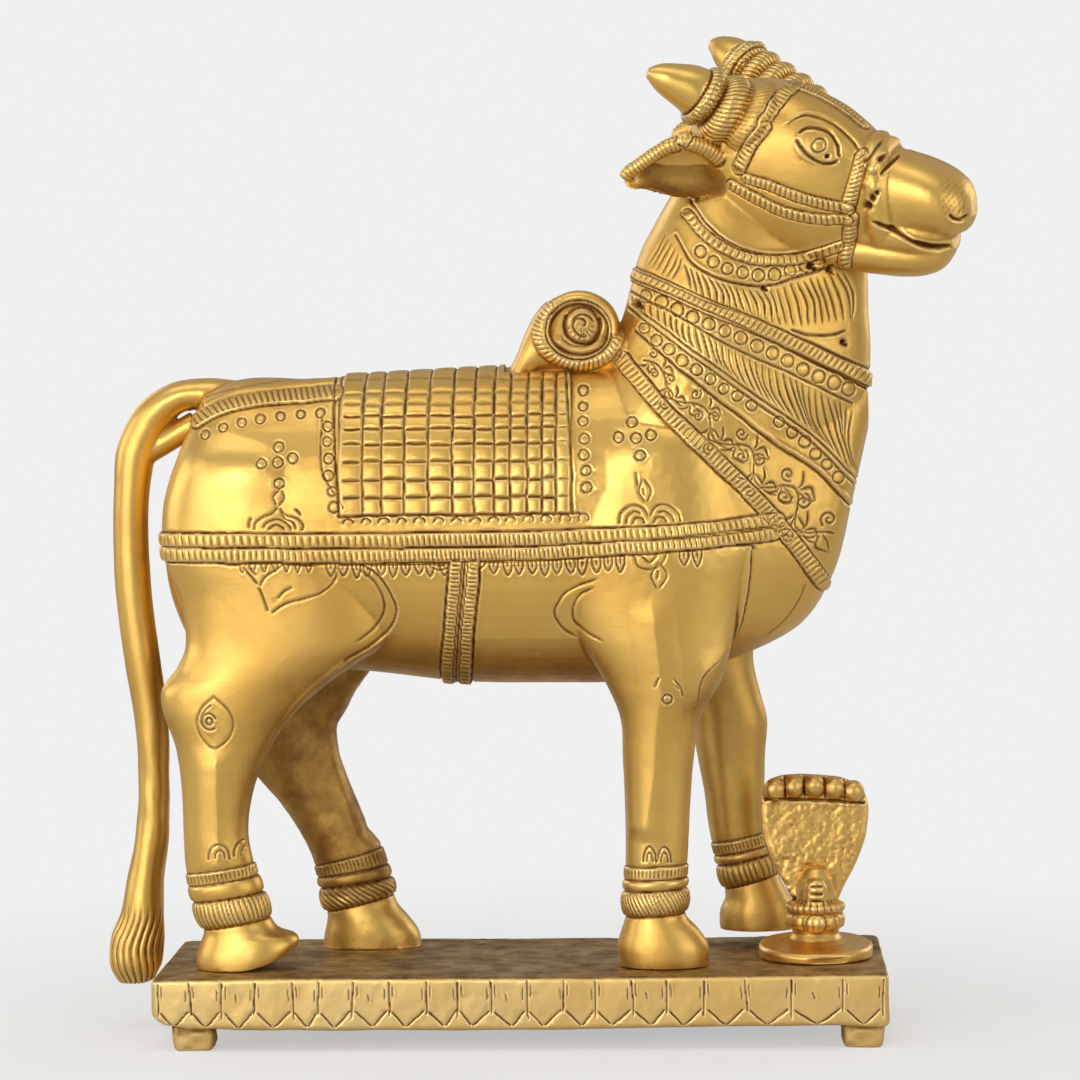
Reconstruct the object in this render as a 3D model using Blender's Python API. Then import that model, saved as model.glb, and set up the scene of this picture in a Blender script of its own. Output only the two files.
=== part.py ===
"""Brass nandi bull on a petalled plinth, with a small linga under a five-headed cobra hood.

Three castings, each one closed body:
  nandi_bull    the standing bull with its horns, ears, tail, hump scroll and trappings
  plinth        the slab that it stands on, with four short feet
  naga_lingam   the turned base, linga and cobra hood that rest on the plinth's front end

Frame: +X along the bull, head end positive; +Y to the bull's left side; +Z up; the origin
is under the middle of the whole work, on the surface that it stands on. The sizes below
are millimetres, and every shape is scaled to metres as its mesh is made.
"""

import math

import bpy
import numpy as np

MM = 0.001

# Driving dimensions, mm
PLINTH_LENGTH = 192.2
PLINTH_DEPTH = 72.0
PLINTH_MIDDLE_X = -4.7
SLAB_UNDERSIDE = 5.2
SLAB_TOP = 19.2
RESTING_GAP = 0.3
SOLE = SLAB_TOP + RESTING_GAP
BULL_Y = 3.5
LEG_SPREAD = 19.5
HEAD_PIVOT = (50.0, 3.5, 228.0)
HEAD_YAW = math.radians(18.0)
HEAD_ROLL = math.radians(16.0)

# Mesh fineness
RING_POINTS = 48
TRUNK_RINGS = 60
NECK_RINGS = 40
LEG_RINGS = 90
HEAD_RINGS = 30
TAIL_RINGS = 70
EAR_RINGS = 18
SCROLL_RINGS = 16
REMESH_CELL = 1.15
BULL_SOFTENING = 4
BULL_TRIANGLES = 7000
SHRINE_CELL = 0.5
SHRINE_SOFTENING = 2
SHRINE_TRIANGLES = 1700

# Squareness of the sections: 2 is an ellipse, larger is boxier
TRUNK_POWER = 2.25
NECK_POWER = 2.1
LEG_POWER = 2.3
HEAD_POWER = 2.3
JAW_POWER = 2.2
SCROLL_FOOT_POWER = 2.4

# Level at which the barrel is widest, and how much the neck narrows to its throat
BARREL_LEVEL = 133.0
LEVEL_MARGIN = 0.35
NECK_TAPER = 0.30

BRASS = (0.62, 0.40, 0.12, 1.0)
DARK_BRASS = (0.42, 0.26, 0.08, 1.0)

# Trunk: x, underside z, back z, half width
TRUNK = (
    (-99.6, 127.0, 141.0, 6.0),
    (-97.6, 116.0, 150.0, 14.0),
    (-93.0, 105.0, 159.5, 20.0),
    (-87.4, 101.0, 171.5, 24.5),
    (-80.0, 99.5, 174.6, 26.5),
    (-64.0, 98.0, 175.0, 28.0),
    (-44.0, 96.2, 175.6, 28.5),
    (-20.0, 93.4, 176.6, 28.5),
    (6.0, 92.8, 178.0, 28.5),
    (28.0, 93.2, 179.0, 28.0),
    (46.0, 96.8, 179.0, 26.0),
    (60.0, 102.0, 178.0, 22.5),
    (70.5, 108.2, 177.0, 18.5),
    (78.5, 120.0, 176.0, 14.0),
    (84.0, 139.8, 175.0, 9.5),
    (88.6, 160.0, 174.0, 4.5),
)

# Neck: z, nape x, throat x, half width
NECK = (
    (150.0, 0.0, 85.5, 23.0),
    (164.0, 10.0, 88.0, 23.0),
    (174.0, 16.5, 89.2, 22.0),
    (183.0, 20.8, 89.5, 21.0),
    (191.0, 23.8, 89.0, 20.0),
    (199.0, 26.0, 88.9, 19.0),
    (207.0, 28.2, 88.4, 17.8),
    (215.0, 32.4, 85.0, 16.5),
    (222.0, 36.5, 80.0, 15.0),
    (230.0, 41.5, 74.0, 13.0),
    (238.0, 47.0, 68.0, 10.0),
)

# Legs: z, rear x, front x, outward offset of the middle from the spread, half width
NEAR_HIND = (
    (156.0, -94.0, -56.0, -6.5, 12.0),
    (140.0, -98.5, -47.5, -4.5, 13.0),
    (128.0, -98.2, -43.2, -3.5, 13.0),
    (117.0, -93.8, -37.4, -2.8, 12.4),
    (106.0, -92.6, -38.6, -2.0, 11.6),
    (99.0, -95.0, -48.5, -1.2, 10.8),
    (92.8, -99.2, -57.2, -0.5, 10.0),
    (88.0, -98.8, -62.6, 0.0, 9.3),
    (77.5, -95.3, -70.4, 0.0, 8.6),
    (66.0, -94.0, -75.2, 0.0, 8.2),
    (54.0, -93.7, -76.6, 0.0, 8.0),
    (49.5, -93.6, -76.0, 0.0, 8.3),
    (44.8, -93.4, -73.8, 0.0, 8.7),
    (42.5, -92.8, -73.0, 0.0, 8.9),
    (40.4, -91.4, -73.0, 0.0, 8.2),
    (38.4, -92.0, -71.6, 0.0, 8.9),
    (34.5, -91.6, -70.2, 0.0, 9.3),
    (31.4, -89.4, -71.4, 0.0, 8.4),
    (29.5, -88.6, -69.0, 0.0, 8.4),
    (26.5, -89.6, -64.8, 0.0, 9.2),
    (22.5, -90.8, -63.6, 0.0, 9.8),
    (17.0, -90.6, -65.4, 0.0, 9.8),
)
NEAR_FRONT = (
    (160.0, 12.0, 52.0, -5.5, 11.0),
    (145.0, 4.0, 56.0, -3.5, 12.5),
    (130.0, 3.0, 57.5, -2.0, 13.0),
    (118.0, 7.0, 54.5, -1.2, 12.0),
    (105.5, 11.5, 52.0, -0.4, 10.8),
    (94.0, 18.4, 48.6, 0.0, 9.8),
    (84.5, 22.2, 43.2, 0.0, 9.0),
    (74.0, 22.6, 41.4, 0.0, 8.6),
    (60.0, 23.1, 40.2, 0.0, 8.2),
    (51.0, 23.2, 39.7, 0.0, 8.0),
    (48.0, 22.4, 40.0, 0.0, 8.4),
    (43.0, 22.4, 39.8, 0.0, 8.6),
    (40.4, 22.8, 38.9, 0.0, 8.0),
    (37.6, 21.8, 39.9, 0.0, 8.9),
    (34.6, 22.0, 39.4, 0.0, 9.0),
    (32.6, 23.0, 38.4, 0.0, 8.1),
    (29.0, 21.8, 42.0, 0.0, 8.9),
    (24.5, 20.7, 44.8, 0.0, 9.7),
    (20.5, 21.2, 45.0, 0.0, 9.8),
    (17.0, 21.6, 44.6, 0.0, 9.6),
)
FAR_HIND = (
    (156.0, -94.0, -54.0, 6.5, 12.0),
    (140.0, -98.5, -48.0, 4.5, 13.0),
    (122.0, -97.0, -43.0, 3.2, 12.6),
    (108.0, -94.0, -43.0, 2.2, 11.6),
    (96.0, -92.0, -46.2, 1.0, 10.4),
    (88.5, -90.5, -51.4, 0.3, 9.6),
    (80.5, -87.0, -54.6, 0.0, 8.9),
    (73.0, -83.0, -54.9, 0.0, 8.5),
    (66.0, -78.2, -53.0, 0.0, 8.2),
    (58.5, -71.8, -49.4, 0.0, 8.0),
    (52.0, -67.4, -46.4, 0.0, 8.0),
    (47.5, -65.4, -44.6, 0.0, 8.5),
    (43.5, -63.8, -42.6, 0.0, 8.8),
    (41.2, -62.4, -42.6, 0.0, 8.1),
    (38.2, -62.6, -40.4, 0.0, 9.0),
    (34.6, -62.0, -39.6, 0.0, 9.2),
    (31.6, -60.4, -41.0, 0.0, 8.2),
    (27.6, -59.4, -37.6, 0.0, 9.0),
    (23.4, -60.2, -34.6, 0.0, 9.6),
    (17.0, -61.0, -33.4, 0.0, 9.6),
)
FAR_FRONT = (
    (160.0, 18.0, 58.0, 5.5, 11.0),
    (140.0, 20.0, 64.0, 3.5, 12.5),
    (122.0, 24.0, 63.0, 1.6, 12.0),
    (108.0, 31.0, 59.5, 0.6, 11.0),
    (98.0, 36.0, 57.6, 0.0, 10.0),
    (88.0, 39.6, 59.4, 0.0, 9.2),
    (80.5, 41.0, 61.3, 0.0, 8.8),
    (72.0, 42.0, 60.7, 0.0, 8.4),
    (60.0, 44.0, 60.4, 0.0, 8.2),
    (54.0, 44.4, 61.0, 0.0, 8.4),
    (48.5, 45.0, 62.0, 0.0, 8.6),
    (46.0, 46.4, 61.8, 0.0, 8.0),
    (42.6, 46.2, 63.8, 0.0, 9.0),
    (39.0, 47.4, 65.2, 0.0, 9.0),
    (36.4, 49.2, 64.8, 0.0, 8.1),
    (31.6, 49.4, 67.2, 0.0, 8.8),
    (27.0, 48.0, 68.6, 0.0, 9.4),
    (22.5, 47.8, 69.2, 0.0, 9.6),
    (17.0, 48.2, 69.0, 0.0, 9.6),
)

# Head, along its own length from the pivot: forward, underside, top, half width
SKULL = (
    (-8.0, -14.0, 12.0, 7.0),
    (-4.0, -20.0, 18.5, 11.5),
    (3.0, -23.5, 23.5, 15.0),
    (11.0, -25.0, 25.2, 16.6),
    (19.0, -25.6, 24.4, 17.0),
    (27.0, -25.4, 21.6, 16.2),
    (34.0, -24.6, 17.8, 14.6),
    (40.5, -23.2, 12.4, 12.6),
    (46.0, -20.5, 6.8, 11.4),
    (52.0, -18.8, 4.5, 11.4),
    (58.0, -18.2, 2.3, 11.6),
    (63.2, -17.6, -0.6, 10.6),
    (67.0, -16.2, -4.0, 7.6),
    (68.6, -13.2, -7.2, 3.0),
)
LOWER_JAW = (
    (30.0, -25.0, -14.0, 11.0),
    (36.0, -26.4, -16.0, 10.6),
    (43.0, -27.4, -18.0, 10.0),
    (50.0, -28.2, -18.4, 9.4),
    (56.0, -27.6, -18.8, 8.6),
    (61.0, -25.2, -19.0, 7.0),
    (63.8, -22.2, -19.6, 3.4),
)
NOSEBAND = (
    (42.2, -24.5, 9.6, 12.0),
    (43.6, -24.6, 10.2, 13.0),
    (46.8, -24.2, 8.6, 12.8),
    (48.4, -23.8, 6.6, 11.6),
)

# Horns, tip to root: x, y, z, radius
NEAR_HORN = (
    (31.0, -15.6, 254.0, 1.2),
    (33.2, -15.0, 253.3, 3.0),
    (38.2, -13.4, 251.4, 5.2),
    (43.6, -11.7, 249.0, 6.8),
    (44.2, -11.5, 248.6, 7.5),
    (47.0, -10.5, 246.7, 7.7),
    (47.6, -10.3, 246.3, 7.0),
    (48.6, -9.9, 245.5, 8.6),
    (50.8, -9.0, 243.8, 9.6),
    (53.2, -8.2, 242.0, 8.6),
    (54.0, -7.9, 241.2, 8.0),
    (55.6, -7.2, 239.8, 9.6),
    (58.0, -6.4, 237.8, 10.4),
    (60.6, -5.4, 235.6, 9.0),
    (64.0, -4.0, 232.6, 6.0),
)
FAR_HORN = (
    (47.6, 27.0, 264.0, 1.2),
    (49.6, 26.0, 263.2, 3.0),
    (52.4, 24.4, 261.4, 4.8),
    (55.2, 22.8, 259.2, 5.7),
    (56.0, 22.3, 258.6, 6.6),
    (58.2, 21.0, 256.8, 6.8),
    (58.8, 20.6, 256.2, 6.2),
    (60.0, 19.8, 255.0, 7.2),
    (62.6, 18.2, 252.6, 7.8),
    (65.0, 16.6, 250.4, 7.2),
    (66.4, 15.6, 249.0, 7.6),
    (69.0, 13.6, 246.4, 8.2),
    (72.0, 11.0, 243.0, 6.0),
)

# Ears in the head's own axes: root and tip as forward, sideways, up
EAR_ROOT = (4.0, 12.0, 4.2)
EAR_TIP = (-18.0, 21.5, 4.6)
EAR_HALF_HEIGHT = 8.2
EAR_THICKNESS = 2.6
EAR_RIM = (0.75, 0.45)
EAR_CUP = 4.2
EAR_ARCH = 1.6
EAR_BACK = 1.06
# Ear outline: share of the length, share of the half height
EAR_OUTLINE = (
    (0.0, 0.45),
    (0.15, 0.78),
    (0.35, 1.0),
    (0.55, 0.88),
    (0.75, 0.62),
    (0.9, 0.42),
    (1.0, 0.34),
    (1.06, 0.16),
)

# Tail: x, z, half length and half width of its section
TAIL = (
    (-78.2, 169.5, 4.8, 4.7),
    (-88.2, 171.0, 4.3, 5.0),
    (-95.7, 170.3, 4.2, 5.2),
    (-102.0, 166.0, 4.9, 5.2),
    (-106.8, 157.5, 5.3, 5.0),
    (-108.8, 145.0, 4.8, 4.8),
    (-109.2, 130.0, 4.8, 4.6),
    (-108.4, 114.0, 4.8, 4.5),
    (-106.4, 98.0, 4.8, 4.4),
    (-104.4, 82.0, 4.5, 4.3),
    (-104.1, 66.0, 4.2, 4.2),
    (-104.8, 52.0, 4.5, 4.6),
    (-106.8, 40.0, 5.0, 5.4),
    (-107.8, 31.0, 5.8, 6.2),
    (-109.4, 22.0, 7.2, 7.0),
    (-109.8, 16.5, 7.0, 6.6),
    (-109.4, 12.6, 4.8, 4.4),
)
STRUT_ENDS = ((-104.0, 154.6), (-92.0, 162.6))
STRUT_RADIUS = 2.4

# Hump scroll: middle x and z, radius, half width
# Its rounded ends are shares across and of the radius
SCROLL = (12.2, 187.0, 10.4, 12.5)
SCROLL_ENDS = ((-1.0, 0.70), (-0.93, 0.88), (-0.8, 1.0), (0.8, 1.0), (0.93, 0.88), (1.0, 0.70))
SCROLL_FOOT = (
    (-6.4, 168.0, 177.5, 9.0),
    (-4.6, 170.0, 181.0, 10.5),
    (-2.4, 172.0, 186.5, 11.5),
    (0.2, 173.0, 191.2, 12.0),
    (3.4, 174.0, 194.6, 12.4),
    (14.0, 174.0, 189.0, 13.5),
    (24.0, 174.0, 187.0, 14.5),
    (30.0, 174.0, 185.0, 14.5),
)

# Raised trappings, seen from the side: x, z points of the middle line, half width, height
GIRTH_LINE = ((-110.0, 131.6), (-75.0, 131.2), (-20.0, 131.2), (40.0, 133.2), (64.0, 135.2))
GIRTH_BAND = (GIRTH_LINE, 4.6, 1.1)
NECK_LINE = ((20.0, 182.0), (33.0, 167.8), (45.0, 155.4), (58.0, 141.9), (71.5, 126.5), (79.0, 114.0))
NECK_STRAP = (NECK_LINE, 2.6, 1.0)
COLLAR_LINE = ((22.0, 196.0), (30.0, 194.6), (52.0, 190.0), (75.0, 182.0), (92.0, 173.5))
COLLAR_STRAP = (COLLAR_LINE, 2.2, 0.9)
STRAPS = (GIRTH_BAND, NECK_STRAP, COLLAR_STRAP)
BLANKET = (-51.0, 12.5, 139.0)
BLANKET_HEIGHT = 0.8
STRAP_EDGE = 0.8
TRAPPINGS_LOW = 100.0
TRAPPINGS_HIGH = 205.0
TAIL_CLEAR_X = -103.0
HOOVES_FROM_X = -98.0

# Linga group: middle x and y, then turned profile as height above the slab, radius
SHRINE_X = 73.2
SHRINE_Y = -5.5
SHRINE_PROFILE = (
    (0.0, 14.2),
    (0.5, 15.1),
    (3.0, 15.2),
    (3.7, 14.6),
    (4.4, 9.0),
    (5.2, 7.0),
    (6.8, 6.0),
    (7.8, 6.2),
    (8.4, 7.0),
    (9.6, 7.4),
    (11.2, 7.4),
    (12.2, 6.6),
    (12.9, 7.5),
    (14.2, 7.7),
    (14.8, 7.0),
    (15.2, 4.0),
)
LINGA = (
    (13.0, 3.3),
    (18.0, 3.4),
    (21.0, 3.2),
    (22.8, 2.5),
    (23.8, 1.2),
    (24.1, 0.3),
)
LINGA_FORWARD = -3.0
# Hood outline in its own upright plane: sideways from the middle, height above the slab
HOOD = (
    (-5.2, 13.5),
    (-8.6, 20.0),
    (-12.2, 27.0),
    (-14.2, 35.0),
    (-14.0, 42.0),
    (-12.6, 46.4),
    (-9.0, 48.0),
    (0.0, 48.2),
    (8.0, 47.2),
    (12.2, 45.4),
    (14.2, 41.0),
    (14.0, 34.0),
    (11.6, 26.0),
    (8.0, 19.0),
    (5.4, 13.5),
)
HOOD_THICKNESS = 3.2
HOOD_LAYERS = ((-0.5, 0.90), (-0.32, 1.0), (0.32, 1.0), (0.5, 0.90))
HOOD_BACK = 2.6
HOOD_LEAN = 0.05
COBRA_PLACES = ((-10.2, 44.6), (-5.4, 45.2), (0.0, 45.3), (5.5, 44.8), (10.4, 43.6))
COBRA_RADIUS = 2.7
COBRA_RINGS = 9
COBRA_POLE = 1.5

# Plinth: feet, rounded edges and the petal row's cut lines
FOOT_SIZE = (11.5, 11.0)
FOOT_INSET = {-1: 10.8, 1: 6.8}
FOOT_SETBACK = 1.0
FOOT_TAPER = 0.86
FOOT_OVERLAP = 2.0
EDGE_ROUND = 1.2
EDGE_STEPS = 3
PETALS = 22
PETAL_END = 4.0
PETAL_TOP = 18.6
PETAL_SHOULDER = 10.2
PETAL_START = (1.0, 10.0)
PETAL_POINT = 6.6
GROOVE_WIDTH = 0.9
GROOVE_DEPTH = 0.45
GROOVE_FLARE = 1.6


def clear_scene():
    """Start from an empty scene."""
    for item in list(bpy.data.objects):
        bpy.data.objects.remove(item, do_unlink=True)


def brass(name, colour, roughness):
    """Principled material of one casting."""
    material = bpy.data.materials.new(name)
    material.use_nodes = True
    shader = material.node_tree.nodes["Principled BSDF"]
    shader.inputs["Base Color"].default_value = colour
    shader.inputs["Metallic"].default_value = 1.0
    shader.inputs["Roughness"].default_value = roughness
    return material


def blend(rows, count):
    """Rows of a form at even steps, on a smooth curve through the rows given."""
    rows = np.array(rows, float)
    gaps = np.linalg.norm(np.diff(rows[:, :3], axis=0), axis=1)
    along = np.concatenate(([0.0], np.cumsum(gaps)))
    slopes = np.gradient(rows, along, axis=0)
    wanted = np.linspace(0.0, along[-1], count)
    index = np.clip(np.searchsorted(along, wanted, side="right") - 1, 0, len(gaps) - 1)
    span = gaps[index]
    t = ((wanted - along[index]) / span)[:, None]
    start, end = rows[index], rows[index + 1]
    leave, arrive = slopes[index] * span[:, None], slopes[index + 1] * span[:, None]
    return (
        (2 * t**3 - 3 * t**2 + 1) * start
        + (t**3 - 2 * t**2 + t) * leave
        + (3 * t**2 - 2 * t**3) * end
        + (t**3 - t**2) * arrive
    )


def squared_circle(power, points=RING_POINTS):
    """Unit outline between a circle (power 2) and a square (large power)."""
    turn = np.linspace(0.0, 2 * math.pi, points, endpoint=False)
    across, up = np.cos(turn), np.sin(turn)
    reach = np.sign(across) * np.abs(across) ** (2 / power)
    rise = np.sign(up) * np.abs(up) ** (2 / power)
    return reach, rise


def loft(rings):
    """Closed mesh data through rings of equal point count: vertices and faces."""
    count = len(rings[0])
    corners = np.concatenate(rings)
    faces = [tuple(range(count))[::-1]]
    for level in range(len(rings) - 1):
        low, high = level * count, (level + 1) * count
        for point in range(count):
            after = (point + 1) % count
            faces.append((low + point, low + after, high + after, high + point))
    last = (len(rings) - 1) * count
    faces.append(tuple(last + point for point in range(count)))
    return corners, faces


def mesh_object(name, corners, faces):
    """Object from millimetre corners, its faces turned to point out."""
    mesh = bpy.data.meshes.new(name)
    mesh.from_pydata((np.asarray(corners) * MM).tolist(), [], [list(face) for face in faces])
    mesh.update()
    item = bpy.data.objects.new(name, mesh)
    bpy.context.scene.collection.objects.link(item)
    if signed_volume(mesh) < 0:
        mesh.flip_normals()
    return item


def signed_volume(mesh):
    """Volume inside the mesh, negative where its faces point in."""
    mesh.calc_loop_triangles()
    places = np.empty(len(mesh.vertices) * 3)
    mesh.vertices.foreach_get("co", places)
    places = places.reshape(-1, 3)
    corners = np.array([triangle.vertices[:] for triangle in mesh.loop_triangles])
    one, two, three = (places[corners[:, side]] for side in range(3))
    return float(np.einsum("ij,ij->i", one, np.cross(two, three)).sum() / 6)


def upright_rings(rows, power, widest=None):
    """Rings across X: underside and top heights, widest at a given level."""
    reach, rise = squared_circle(power)
    rings = []
    for x, low, high, half in rows:
        level = (low + high) / 2
        if widest is not None:
            margin = LEVEL_MARGIN * (high - low)
            level = min(max(widest, low + margin), high - margin)
        z = np.where(rise > 0, level + rise * (high - level), level + rise * (level - low))
        rings.append(np.stack([np.full_like(z, x), BULL_Y + half * reach, z], axis=-1))
    return rings


def level_rings(rows, power, side=0.0, taper=0.0):
    """Rings at one height each: rear and front x, and an outward offset of the middle."""
    reach, rise = squared_circle(power)
    rings = []
    for row in rows:
        z, rear, front = row[:3]
        offset, half = (row[3], row[4]) if len(row) == 5 else (0.0, row[3])
        x = (rear + front) / 2 + (front - rear) / 2 * reach
        y = BULL_Y + side * LEG_SPREAD - offset + half * rise * (1 - taper * reach)
        rings.append(np.stack([x, y, np.full_like(x, z)], axis=-1))
    return rings


def head_axes():
    """Unit vectors of the turned and tilted head: forward, to its far side, up."""
    forward = np.array([math.cos(HEAD_YAW), -math.sin(HEAD_YAW), 0.0])
    level_side = np.array([math.sin(HEAD_YAW), math.cos(HEAD_YAW), 0.0])
    side = level_side * math.cos(HEAD_ROLL) + np.array([0.0, 0.0, math.sin(HEAD_ROLL)])
    return forward, side, np.cross(forward, side)


def on_head(points):
    """World places of points given forward, sideways and up from the head's pivot."""
    forward, side, up = head_axes()
    points = np.asarray(points, float)
    return np.array(HEAD_PIVOT) + points[:, :1] * forward + points[:, 1:2] * side + points[:, 2:3] * up


def head_rings(rows, power):
    """Rings across the head's length."""
    reach, rise = squared_circle(power)
    rings = []
    for ahead, low, high, half in rows:
        local = np.stack(
            [np.full_like(reach, ahead), half * reach, (low + high) / 2 + (high - low) / 2 * rise], axis=-1
        )
        rings.append(on_head(local))
    return rings


def tube_rings(centres, sizes):
    """Rings square to a path: each size is one radius, or a half length and a half width."""
    centres = np.asarray(centres, float)
    along = np.gradient(centres, axis=0)
    along /= np.linalg.norm(along, axis=1)[:, None]
    reach, rise = squared_circle(2.0)
    sideways = np.array([0.0, 1.0, 0.0])
    rings = []
    for centre, way, size in zip(centres, along, sizes):
        in_plane = np.cross(way, sideways)
        in_plane /= np.linalg.norm(in_plane)
        across = np.cross(in_plane, way)
        length, width = size if np.ndim(size) else (size, size)
        rings.append(centre + np.outer(reach * length, in_plane) + np.outer(rise * width, across))
    return rings


def ear_mesh(side):
    """Cupped leaf of one ear, open to its own side: side is -1 near, +1 far."""
    root = np.array(EAR_ROOT) * (1, side, 1)
    tip = np.array(EAR_TIP) * (1, side, 1)
    length_way = tip - root
    upward = np.array([0.0, 0.0, 1.0])
    outward = np.cross(length_way, upward) * side
    outward *= -1 if outward[1] * side < 0 else 1
    outward /= np.linalg.norm(outward)
    shares, heights = zip(*EAR_OUTLINE)
    rings = []
    for step in np.linspace(0.0, shares[-1], EAR_RINGS):
        half = EAR_HALF_HEIGHT * float(np.interp(step, shares, heights))
        middle = root + length_way * step + upward * (EAR_ARCH * math.sin(math.pi * step))
        turn = np.linspace(-1.0, 1.0, RING_POINTS // 2)
        height = half * turn
        depth = EAR_CUP * (half / EAR_HALF_HEIGHT) * turn**2
        inner = middle + np.outer(height, upward) + np.outer(depth, outward)
        thick = EAR_THICKNESS * (EAR_RIM[0] + EAR_RIM[1] * np.abs(turn))
        outer = middle + np.outer(height * EAR_BACK, upward) + np.outer(depth - thick, outward)
        rings.append(on_head(np.concatenate([inner, outer[::-1]])))
    return loft(rings)


def scroll_mesh():
    """Rolled hump: a short cylinder across the back with rounded ends."""
    x, z, radius, half = SCROLL
    reach, rise = squared_circle(2.0)
    rings = []
    for across, share in SCROLL_ENDS:
        ring_x = x + radius * share * reach
        ring_z = z + radius * share * rise
        rings.append(np.stack([ring_x, np.full_like(reach, BULL_Y + half * across), ring_z], axis=-1))
    return loft(rings)


def join_forms(name, forms):
    """One object from several overlapping closed forms."""
    corners, faces, start = [], [], 0
    for points, sides in forms:
        item = mesh_object("form", points, sides)
        places = np.empty(len(item.data.vertices) * 3)
        item.data.vertices.foreach_get("co", places)
        corners.append(places.reshape(-1, 3) / MM)
        faces += [tuple(start + corner for corner in polygon.vertices) for polygon in item.data.polygons]
        start += len(item.data.vertices)
        bpy.data.objects.remove(item, do_unlink=True)
    mesh = bpy.data.meshes.new(name)
    mesh.from_pydata((np.concatenate(corners) * MM).tolist(), [], faces)
    mesh.update()
    joined = bpy.data.objects.new(name, mesh)
    bpy.context.scene.collection.objects.link(joined)
    return joined


def bake(item):
    """Turn the object's modifiers into its mesh."""
    graph = bpy.context.evaluated_depsgraph_get()
    mesh = bpy.data.meshes.new_from_object(item.evaluated_get(graph))
    item.modifiers.clear()
    item.data = mesh


def melt(item, cell, rounds):
    """Weld overlapping forms into one skin and soften where they meet."""
    remesh = item.modifiers.new("Skin", "REMESH")
    remesh.mode = "VOXEL"
    remesh.voxel_size = cell * MM
    soften = item.modifiers.new("Soften", "SMOOTH")
    soften.factor = 0.5
    soften.iterations = rounds
    bake(item)


def reduce_to(item, triangles):
    """Fewer triangles, kept where the surface turns."""
    item.data.calc_loop_triangles()
    reduce = item.modifiers.new("Reduce", "DECIMATE")
    reduce.ratio = triangles / len(item.data.loop_triangles)
    bake(item)


def places_of(mesh, what="co"):
    """Vertex places in mm, or vertex normals."""
    values = np.empty(len(mesh.vertices) * 3)
    if what == "co":
        mesh.vertices.foreach_get("co", values)
        return values.reshape(-1, 3) / MM
    mesh.vertex_normals.foreach_get("vector", values)
    return values.reshape(-1, 3)


def put_places(mesh, places):
    """Write vertex places given in mm."""
    mesh.vertices.foreach_set("co", (places * MM).ravel())
    mesh.update()


def distance_to_line(points, line):
    """Side-view distance from points (x, z) to a line of points."""
    best = np.full(len(points), np.inf)
    for start, end in zip(line[:-1], line[1:]):
        start, way = np.array(start), np.subtract(end, start)
        share = np.clip((points - start) @ way / (way @ way), 0.0, 1.0)
        best = np.minimum(best, np.linalg.norm(points - start - share[:, None] * way, axis=1))
    return best


def raise_trappings(item):
    """Lift the straps and the blanket off the bull's skin."""
    places, normals = places_of(item.data), places_of(item.data, "normal")
    side_view = places[:, [0, 2]]
    level = places[:, 2]
    on_body = (level > TRAPPINGS_LOW) & (level < TRAPPINGS_HIGH) & (places[:, 0] > TAIL_CLEAR_X)
    lift = np.zeros(len(places))
    for line, half, height in STRAPS:
        edge = np.clip((half + STRAP_EDGE / 2 - distance_to_line(side_view, line)) / STRAP_EDGE, 0.0, 1.0)
        lift = np.maximum(lift, height * edge)
    rear, front, low = BLANKET
    inside = np.minimum.reduce([side_view[:, 0] - rear, front - side_view[:, 0], side_view[:, 1] - low])
    lift = np.maximum(lift, BLANKET_HEIGHT * np.clip(inside / STRAP_EDGE, 0.0, 1.0))
    put_places(item.data, places + normals * (lift * on_body)[:, None])


def flatten_below(item, level):
    """Flat sole: nothing reaches under the given height."""
    places = places_of(item.data)
    on_feet = (places[:, 2] < level) & (places[:, 0] > HOOVES_FROM_X)
    places[on_feet, 2] = level
    put_places(item.data, places)


def build_bull():
    """The bull with all its trappings, as one casting."""
    forms = [loft(upright_rings(blend(TRUNK, TRUNK_RINGS), TRUNK_POWER, widest=BARREL_LEVEL))]
    forms.append(loft(level_rings(blend(NECK, NECK_RINGS), NECK_POWER, taper=NECK_TAPER)))
    for rows, side in ((NEAR_HIND, -1), (NEAR_FRONT, -1), (FAR_HIND, 1), (FAR_FRONT, 1)):
        forms.append(loft(level_rings(blend(rows, LEG_RINGS), LEG_POWER, side=side)))
    for rows, power in ((SKULL, HEAD_POWER), (LOWER_JAW, JAW_POWER), (NOSEBAND, HEAD_POWER)):
        forms.append(loft(head_rings(blend(rows, HEAD_RINGS), power)))
    for rows in (NEAR_HORN, FAR_HORN):
        rows = np.array(rows)
        forms.append(loft(tube_rings(rows[:, :3], rows[:, 3])))
    forms += [ear_mesh(-1), ear_mesh(1), scroll_mesh()]
    forms.append(loft(upright_rings(blend(SCROLL_FOOT, SCROLL_RINGS), SCROLL_FOOT_POWER)))
    tail = blend(TAIL, TAIL_RINGS)
    spine = np.stack([tail[:, 0], np.full(len(tail), BULL_Y), tail[:, 1]], axis=-1)
    forms.append(loft(tube_rings(spine, tail[:, 2:])))
    strut = [(x, BULL_Y, z) for x, z in STRUT_ENDS]
    forms.append(loft(tube_rings(strut, (STRUT_RADIUS, STRUT_RADIUS))))

    bull = join_forms("nandi_bull", forms)
    melt(bull, REMESH_CELL, BULL_SOFTENING)
    raise_trappings(bull)
    flatten_below(bull, SOLE)
    reduce_to(bull, BULL_TRIANGLES)
    bull.data.materials.append(brass("bull_brass", BRASS, 0.34))
    return bull


def turned_rings(profile, x, y, base):
    """Rings of a turned form: heights above the base and radii."""
    reach, rise = squared_circle(2.0)
    return [
        np.stack([x + radius * reach, y + radius * rise, np.full_like(reach, base + height)], axis=-1)
        for height, radius in profile
    ]


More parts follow.
